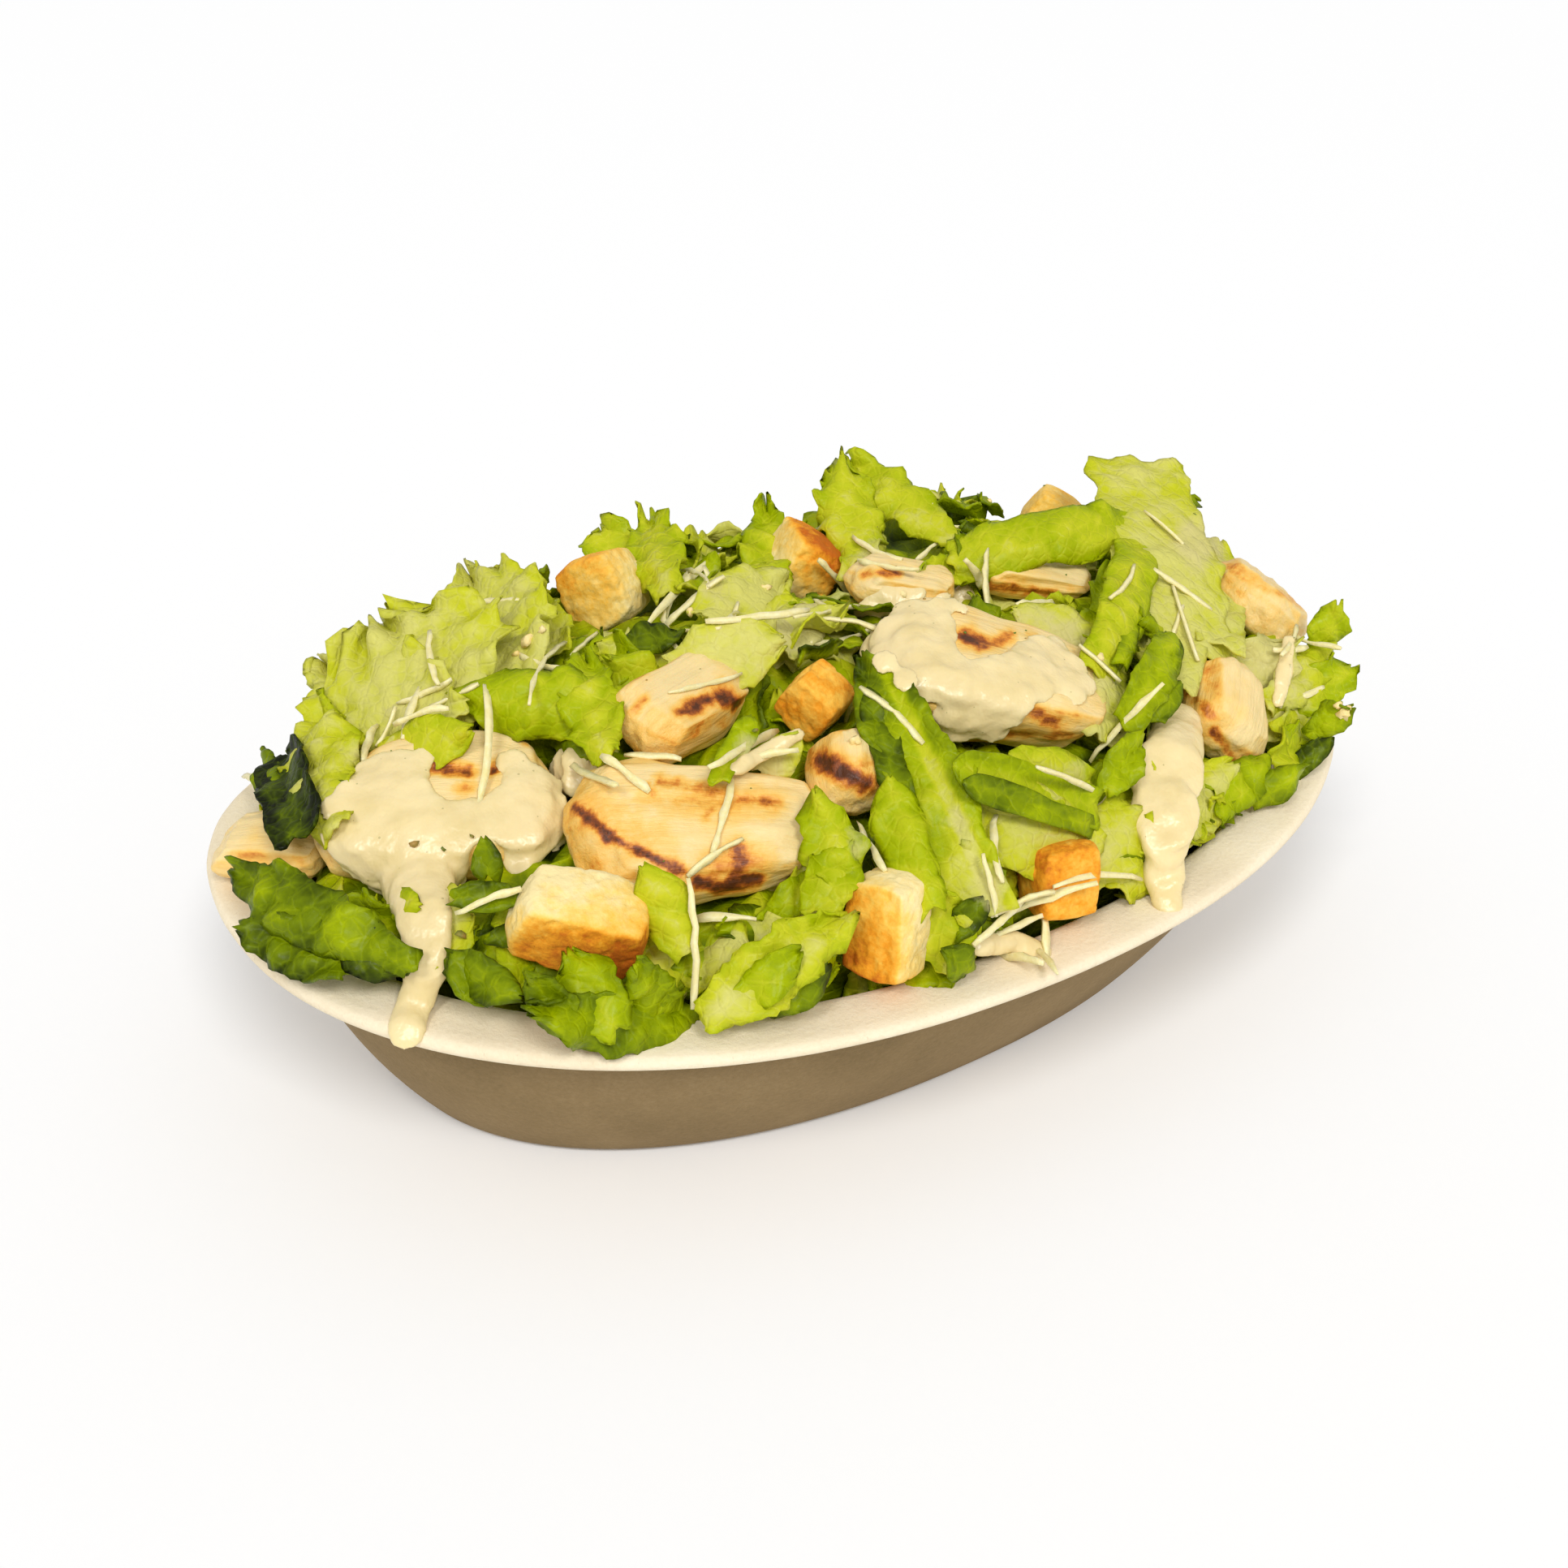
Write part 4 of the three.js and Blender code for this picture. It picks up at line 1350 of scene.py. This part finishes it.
# dressing
dressingForm = {
    "seed": 5,
    "voxel": 0.5,
    "rounds": 7,
    "flat": 0.2,
    "spacing": 8,  # pixels between the drops of a pool
    "feelers": 14,  # nearby places that a drop's height is levelled with
    "reach": 20.0,  # how far off they are, in pixels
    "step": 6.0,  # mm of height past which a place isn't counted
    "proud": 1.6,  # mm by which something stands out of a pool uncovered
    "lump": 0.22,
    "lumpSize": 2.6,
}
streamForm = {
    "spacing": 3.0,  # pixels between its drops
    "across": (-3.4, -1.7, 1.7, 3.4),  # pixels beside its middle, for each mm of half width
    "raised": 4.0,  # mm over its middle past which something beside it isn't covered
    "settle": 16,  # drops over which it comes out of its pool
    "bridging": 60,
    "easing": 24,
    "thickness": 0.95,  # half of it
    "ragged": 0.2,
}
bareSpots = [  # left uncovered: pixel, reach in pixels
    ((602, 1062), 36), ((556, 962), 38), ((594, 958), 38), ((668, 912), 42), ((1200, 788), 34),
    ((1230, 784), 34), ((1296, 892), 42),
]
pools = [  # outlines in pixels, and the size of the drops that fill them
    ([(412, 985), (470, 935), (520, 930), (532, 965), (600, 975), (640, 925), (700, 925), (725, 950),
      (690, 985), (690, 1030), (640, 1070), (575, 1040), (560, 1085), (500, 1100), (440, 1070),
      (405, 1030)], 3.4),
    ([(1062, 788), (1090, 768), (1130, 760), (1180, 770), (1195, 812), (1240, 818), (1262, 796),
      (1300, 796), (1335, 838), (1332, 868), (1290, 862), (1250, 866), (1235, 900), (1165, 900),
      (1165, 858), (1110, 845)], 3.4),
    ([(1045, 752), (1085, 732), (1120, 722), (1150, 737), (1195, 722), (1200, 745), (1150, 765),
      (1080, 764)], 2.6),
]
streams = [  # pixels that a run of dressing passes through, each with its half width in mm
    [((515, 1078), 6.6), ((520, 1110), 5.4), ((526, 1150), 4.2), ((526, 1190), 3.5), ((516, 1225), 3.4),
     ((505, 1255), 3.2), ((500, 1274), 3.2)],
    [((1452, 890), 4.6), ((1446, 930), 6.0), ((1434, 965), 6.6), ((1436, 1010), 5.6), ((1434, 1060), 3.9),
     ((1434, 1095), 3.3), ((1440, 1118), 2.9)],
    [((1205, 1165), 2.0), ((1245, 1160), 2.4), ((1288, 1175), 2.0)],
    [((905, 948), 1.6), ((945, 925), 1.8), ((985, 905), 1.5)],
    [((1588, 790), 1.6), ((1582, 830), 2.0), ((1574, 868), 1.6)],
]


def spanOf(outline):
    across, down = zip(*outline)
    return min(across), max(across), min(down), max(down)


def inside(pixel, outline):
    within = False
    for (x1, y1), (x2, y2) in zip(outline, outline[1:] + outline[:1]):
        if (y1 > pixel[1]) != (y2 > pixel[1]) and pixel[0] < (x2 - x1) * (pixel[1] - y1) / (y2 - y1) + x1:
            within = not within
    return within


def levelledDepth(pixel, skipping=False):  # from the eye to the food, with its small steps smoothed away
    form = dressingForm
    depth = depthOver(coverTree, pixel)
    if not depth:
        return None
    near = []
    for index in range(form["feelers"]):
        turn, reach = index * goldenAngle, form["reach"] * math.sqrt((index + 1) / form["feelers"])
        beside = (pixel[0] + reach * math.cos(turn), pixel[1] + reach * math.sin(turn))
        near.append(depthOver(coverTree, beside))
    near = sorted(other for other in near if other)
    if skipping and near and depth < near[len(near) // 2] - form["proud"]:
        return None
    depths = [depth] + [other for other in near if abs(other - depth) < form["step"]]
    return min(depth + 0.2, sum(depths) / len(depths))


def addDrop(bm, pixel, depth, radius, flat):
    normal = coverTree.ray_cast(eye, rayThrough(pixel))[1] or toCamera
    if normal.dot(toCamera) < 0:
        normal = -normal
    normal = (normal * 0.5 + toCamera * 0.7 + Vector((0, 0, 0.5))).normalized()
    turn = Vector((0, 0, 1)).rotation_difference(normal).to_matrix().to_4x4()
    shape = Matrix.Diagonal((radius, radius, radius * flat, 1.0))
    spot = eye + rayThrough(pixel) * depth + normal * radius * flat * 0.25
    matrix = Matrix.Translation(spot) @ turn @ shape
    bmesh.ops.create_icosphere(bm, subdivisions=2, radius=1.0, matrix=matrix)


def streamDrops(stream):  # pixel, half width and depth of each
    form = streamForm
    drops = []
    for (first, firstHalf), (last, lastHalf) in zip(stream, stream[1:]):
        steps = max(2, round(math.dist(first, last) / form["spacing"]))
        for step in range(steps):
            share = step / steps
            pixel = (mix(first[0], last[0], share), mix(first[1], last[1], share))
            half = mix(firstHalf, lastHalf, share)
            middle = levelledDepth(pixel)
            if middle:
                beside = [(pixel[0] + half * offset, pixel[1]) for offset in form["across"]]
                beside = [levelledDepth(place) or middle for place in beside]
                nearest = min([middle] + [depth for depth in beside if middle - depth < form["raised"]])
                drops.append((pixel, half, mix(middle, nearest, smooth(0, form["settle"], len(drops)))))
    return drops


def addStream(bm, stream):
    form = streamForm
    drops = streamDrops(stream)
    depths = [depth for _, _, depth in drops]
    for _ in range(form["bridging"]):  # it hangs across gaps and doesn't follow every step
        for index in range(1, len(depths) - 1):
            depths[index] = min(depths[index], (depths[index - 1] + depths[index + 1]) / 2)
    for _ in range(form["easing"]):
        for index in range(1, len(depths) - 1):
            depths[index] = (depths[index - 1] + 2 * depths[index] + depths[index + 1]) / 4
    for index, (pixel, half, _) in enumerate(drops):
        ragged = 1 + form["ragged"] * noise.noise(Vector((index * 0.12, stream[0][0][0], 0)))
        addDrop(bm, pixel, depths[index], half * ragged, min(0.4, form["thickness"] / half))


def poolPixels(outline, spacing, chance):
    left, right, top, bottom = spanOf(outline)
    for row in range(int((bottom - top) / spacing) + 1):
        for column in range(int((right - left) / spacing) + 1):
            across, down = chance.uniform(-4, 4), chance.uniform(-4, 4)
            pixel = (left + column * spacing + across, top + row * spacing + down)
            if inside(pixel, outline) and all(math.dist(pixel, spot) > reach for spot, reach in bareSpots):
                yield pixel


def makeDressing():
    form = dressingForm
    chance = random.Random(form["seed"])
    bm = bmesh.new()
    for outline, radius in pools:
        for pixel in poolPixels(outline, form["spacing"], chance):
            depth = levelledDepth(pixel, skipping=True)
            if depth:
                size, flat = radius * chance.uniform(0.65, 0.95), form["flat"] * chance.uniform(0.9, 1.25)
                addDrop(bm, pixel, depth, size, flat)
    for stream in streams:
        addStream(bm, stream)
    piece = finish(bm, "dressing", dressing)
    flow = piece.modifiers.new("flow", "REMESH")
    flow.mode = "VOXEL"
    flow.voxel_size = form["voxel"] * mm
    shaped = bpy.data.meshes.new_from_object(piece.evaluated_get(bpy.context.evaluated_depsgraph_get()))
    piece.modifiers.clear()
    bm = bmesh.new()
    bm.from_mesh(shaped)
    relax(bm, form["rounds"])
    for vert in bm.verts:
        vert.co += vert.normal * noise.noise(vert.co / mm / form["lumpSize"]) * form["lump"] * mm
    bm.to_mesh(piece.data)
    bm.free()
    piece.data.polygons.foreach_set("use_smooth", [True] * len(piece.data.polygons))


makeDressing()
print("dressing poured")

# cheese
shredForm = {
    "seed": 23,
    "width": 1.2,
    "thickness": 0.55,
    "parts": 8,
    "lift": 0.5,  # mm over what it lies on
    "clearing": 4.0,  # most mm by which a chosen one is raised over what it crosses
    "slope": 26.0,  # most mm of depth from one end of a chosen one to the other
    "farthest": 460.0,  # mm from the eye past which a chosen one has nothing to lie on
    "loose": 130,  # tries at shreds that lie at random
    "spread": (106, 70),
    "length": (8.0, 20.0),
    "bridge": 2.2,  # most mm by which its ends may stand clear
    "steepest": 0.8,
    "keepOff": 6.0,  # mm from croutons and chicken in the eye's direction
}
shownShreds = [  # the pixels of both ends
    ((598, 843), (590, 992)), ((529, 776), (540, 842)), ((698, 790), (652, 866)),
    ((637, 806), (705, 826)), ((887, 682), (797, 770)), ((822, 740), (836, 800)),
    ((852, 700), (815, 768)), ((872, 722), (838, 702)), ((825, 853), (915, 830)),
    ((488, 866), (557, 838)), ((485, 894), (552, 873)), ((465, 920), (490, 872)),
    ((450, 944), (466, 892)), ((432, 956), (466, 962)), ((299, 955), (320, 985)),
    ((848, 1082), (853, 1244)), ((848, 1081), (917, 1034)), ((858, 1133), (932, 1131)),
    ((903, 958), (878, 1050)), ((560, 1124), (642, 1095)), ((1056, 1011), (1090, 1072)),
    ((1227, 1003), (1235, 1086)), ((1211, 1052), (1228, 1130)), ((1200, 1164), (1262, 1108)),
    ((1222, 1130), (1300, 1100)), ((1240, 1127), (1352, 1086)), ((1300, 1092), (1408, 1083)),
    ((1284, 1104), (1293, 1192)), ((1262, 1160), (1302, 1198)), ((1206, 1160), (1300, 1120)),
    ((1218, 1176), (1284, 1186)), ((1598, 769), (1580, 806)), ((1592, 783), (1652, 798)),
    ((1570, 800), (1612, 796)), ((1590, 818), (1577, 872)), ((1606, 857), (1632, 846)),
    ((1434, 842), (1342, 938)), ((1278, 946), (1357, 981)), ((1190, 690), (1210, 725)),
    ((980, 760), (1060, 745)), ((1000, 792), (1082, 770)), ((1056, 690), (1132, 702)),
    ((876, 946), (960, 900)), ((900, 946), (984, 924)), ((700, 940), (760, 965)),
    ((740, 930), (800, 975)), ((1050, 660), (1110, 690)), ((1130, 690), (1165, 660)),
    ((1010, 690), (1050, 735)),
]


def addShred(bm, first, last, normal, chance):
    form = shredForm
    axis = last - first
    ax = axis.normalized()
    ay = normal.cross(ax).normalized()
    az = ax.cross(ay)
    width = form["width"] * chance.uniform(0.6, 1.1)
    bow = axis.length * chance.uniform(-0.06, 0.06)
    rise = axis.length * chance.uniform(0.0, 0.04)
    roll = chance.uniform(-0.5, 0.5)
    twist = chance.uniform(-0.6, 0.6)
    origin = chance.uniform(0, 99)
    for vert in bmesh.ops.create_grid(bm, x_segments=form["parts"], y_segments=1, size=1.0)["verts"]:
        along = (vert.co.x + 1) / 2
        arch = 4 * along * (1 - along)
        slim = 0.6 + 0.4 * min(1.0, 6 * along, 6 * (1 - along))
        uneven = 0.5 * noise.noise(Vector((along * axis.length / 3, vert.co.y, origin)))
        y = vert.co.y * width / 2 * slim + uneven
        turn = roll + twist * along
        sideways, upwards = y * math.cos(turn), y * math.sin(turn)
        vert.co = first + axis * along + ay * (sideways + bow * arch) + az * (upwards + rise * arch)


def placeShownShred(bm, pixels, chance):  # on the line that fits what it lies on, raised to clear it
    form = shredForm
    count = 7
    hits = []
    for index in range(count):
        share = index / (count - 1)
        pixel = (mix(pixels[0][0], pixels[1][0], share), mix(pixels[0][1], pixels[1][1], share))
        away = depthOver(coverTree, pixel)
        if away and away < form["farthest"]:
            hits.append((share, away))
    if len(hits) < 2:
        return
    middleShare = sum(share for share, _ in hits) / len(hits)
    middleAway = sum(away for _, away in hits) / len(hits)
    spread = sum((share - middleShare) ** 2 for share, _ in hits)
    slope = sum((share - middleShare) * (away - middleAway) for share, away in hits) / spread
    slope = max(-form["slope"], min(form["slope"], slope))
    nearest = min(away - slope * (share - middleShare) - middleAway for share, away in hits)
    lift = max(nearest, -form["clearing"]) - form["lift"]
    depths = [middleAway + slope * (share - middleShare) + lift for share in (0, 1)]
    ends = [eye + rayThrough(pixel) * depth for pixel, depth in zip(pixels, depths)]
    addShred(bm, *ends, toCamera, chance)


def topOf(x, y):
    return coverTree.ray_cast(Vector((x, y, overhead)), Vector((0, 0, -1)))[0]


def layLooseShred(bm, chance):  # on the highest things under it, unless it would stand in the air there
    form = shredForm
    angle, share = chance.uniform(0, 2 * math.pi), math.sqrt(chance.random()) * 0.95
    centre = onOval(form["spread"], share, angle)
    turn, length = chance.uniform(0, math.pi), chance.uniform(*form["length"])
    reach = Vector((math.cos(turn), math.sin(turn), 0)) * length / 2
    spots = [topOf(*(centre + reach * step).xy) for step in (-1, -0.5, 0, 0.5, 1)]
    if not all(spots):
        return
    line = [mix(spots[0].z, spots[-1].z, index / 4) for index in range(5)]
    lift = max(spot.z - height for spot, height in zip(spots, line))
    if lift > form["bridge"] or abs(spots[0].z - spots[-1].z) > length * form["steepest"]:
        return
    ends = [spot + Vector((0, 0, lift + form["lift"])) for spot in (spots[0], spots[-1])]
    sights = [(toppingTree.ray_cast(eye, end - eye)[3] or 0, (end - eye).length) for end in ends]
    onFood = any(abs(food - away) < form["keepOff"] for food, away in sights)
    if not onFood and not passesOutline(ends, 1.5):
        addShred(bm, ends[0], ends[1], moundNormal(centre), chance)


def makeCheese():
    form = shredForm
    chance = random.Random(form["seed"])
    bm = bmesh.new()
    for pixels in shownShreds:
        placeShownShred(bm, pixels, chance)
    for _ in range(form["loose"]):
        layLooseShred(bm, chance)
    bmesh.ops.solidify(bm, geom=bm.faces, thickness=form["thickness"])
    finish(bm, "cheeseShreds", cheese)


makeCheese()
print("cheese strewn")

# flecks and crumbs
fleckForm = {
    "seed": 31,
    "count": 110,
    "size": (0.15, 0.4),
    "spread": (105, 70),  # half the length and width of the area with loose ones
    "reach": 0.9,  # share of that area which they fill
    "flat": 0.6,
    "rounds": 1,  # of making the ball's faces finer
    "lift": (1.2, 0.0),  # mm towards the eye, and how much of the size
    "pooled": 5,  # one in so many lies in the pools
    "toast": 0.0,
}
crumbForm = {
    "seed": 37,
    "count": 14,
    "size": (0.5, 1.2),
    "spread": (105, 70),
    "reach": 0.92,
    "flat": 0.8,
    "rounds": 2,
    "lift": (0.0, 0.3),
    "pooled": 0,
    "toast": 0.08,
}
shownFlecks = [  # larger herb and pepper specks: pixel, size in mm
    ((512, 1040), 0.9), ((528, 1064), 0.8), ((548, 1046), 0.6), ((556, 1066), 0.5), ((496, 1052), 0.5),
    ((570, 1150), 0.8), ((583, 1030), 0.5), ((650, 1046), 0.7), ((1262, 812), 0.5), ((930, 900), 0.6),
]
shownCrumbs = [
    ((652, 790), 1.3), ((668, 776), 0.8), ((636, 806), 0.7), ((1655, 880), 1.4), ((1648, 870), 0.9),
    ((1662, 872), 0.6),
]


def addLump(bm, form, spot, size, chance):
    angle, axis = chance.uniform(0, 6.3), Vector((chance.random(), chance.random(), 1)).normalized()
    turn = Matrix.Rotation(angle, 4, axis)
    shape = Matrix.Diagonal((size, size * chance.uniform(0.6, 1.0), size * form["flat"], 1.0))
    matrix = Matrix.Translation(spot) @ turn @ shape
    made = bmesh.ops.create_icosphere(bm, subdivisions=form["rounds"], radius=1.0, matrix=matrix)
    for vert in made["verts"]:
        offset = vert.co - spot
        broken = noise.noise(vert.co * 1.3 / size) + 0.5 * noise.noise(vert.co * 3.1 / size)
        vert.co = spot + offset * (1 + 0.9 * broken)


def looseSpot(chance, form):
    angle, share = chance.uniform(0, 6.3), math.sqrt(chance.random()) * form["reach"]
    return topOf(*onOval(form["spread"], share, angle).xy)


def pooledSpot(chance, outline):
    left, right, top, bottom = spanOf(outline)
    pixel = (chance.uniform(left, right), chance.uniform(top, bottom))
    return coverTree.ray_cast(eye, rayThrough(pixel))[0] if inside(pixel, outline) else None


def makeLumps(name, form, shown, material):
    chance = random.Random(form["seed"])
    lift, sizeLift = form["lift"]
    bm = bmesh.new()
    toast = bm.verts.layers.float.new("toast")
    for pixel, size in shown:
        spot = coverTree.ray_cast(eye, rayThrough(pixel))[0]
        if spot:
            addLump(bm, form, spot + toCamera * (lift + size * sizeLift), size, chance)
    for index in range(form["count"]):
        if form["pooled"] and index % form["pooled"] == 0:
            spot = pooledSpot(chance, pools[index % len(pools)][0])
        else:
            spot = looseSpot(chance, form)
        if spot:
            addLump(bm, form, spot, chance.uniform(*form["size"]), chance)
    for vert in bm.verts:
        vert[toast] = form["toast"]
    finish(bm, name, material)


makeLumps("herbFlecks", fleckForm, shownFlecks, fleckMaterial())
makeLumps("breadCrumbs", crumbForm, shownCrumbs, bread)
print("flecks and crumbs strewn")

# floor and light
studio = {
    "floorSize": 12.0,
    "floorColour": srgb(254, 254, 254),
    "worldStrength": 0.5,
    "keySpread": 16.0,  # degrees across each lamp as the food sees it, which softens its shadow
    "keys": [(1.3, (0.4, -0.95, 1.0)), (1.0, (-0.35, -0.9, 1.0))],  # strength, and place: right, away, up
}


def keyLight(name, strength, place):
    data = bpy.data.lights.new(name, "SUN")
    data.energy = strength
    data.angle = math.radians(studio["keySpread"])
    light = bpy.data.objects.new(name, data)
    right, away, up = place
    ahead = Vector((-viewRight.y, viewRight.x, 0.0))
    towards = viewRight * right + ahead * away + Vector((0, 0, up))
    light.rotation_euler = (-towards).to_track_quat("-Z", "Y").to_euler()
    bpy.context.collection.objects.link(light)


def makeFloor():
    bm = bmesh.new()
    bmesh.ops.create_grid(bm, x_segments=1, y_segments=1, size=studio["floorSize"] / 2)
    mesh = bpy.data.meshes.new("floor")
    bm.to_mesh(mesh)
    bm.free()
    floor = bpy.data.objects.new("floor", mesh)
    bpy.context.collection.objects.link(floor)
    material, tree, _ = newMaterial("paleFloor")
    inputs = {"Base Color": studio["floorColour"], "Roughness": 0.9, "Specular IOR Level": 0.1}
    output(tree, add(tree, "BsdfPrincipled", inputs).outputs[0])
    mesh.materials.append(material)


def makeStudio():
    for index, (strength, place) in enumerate(studio["keys"]):
        keyLight(f"key{index + 1}", strength, place)
    world = bpy.data.worlds.new("studio")
    world.use_nodes = True
    tree = world.node_tree
    backdrop = add(tree, "LightPath").outputs["Is Camera Ray"]  # white behind the floor, dimmer as a light
    background = tree.nodes["Background"]
    background.inputs["Color"].default_value = (1.0, 1.0, 1.0, 1.0)
    strength = calc(tree, "MULTIPLY_ADD", backdrop, 1 - studio["worldStrength"], studio["worldStrength"])
    feed(tree, background.inputs["Strength"], strength)
    bpy.context.scene.world = world
    bpy.context.scene.view_settings.view_transform = "Standard"


makeFloor()
makeStudio()
print("studio lit")

bpy.context.view_layer.update()
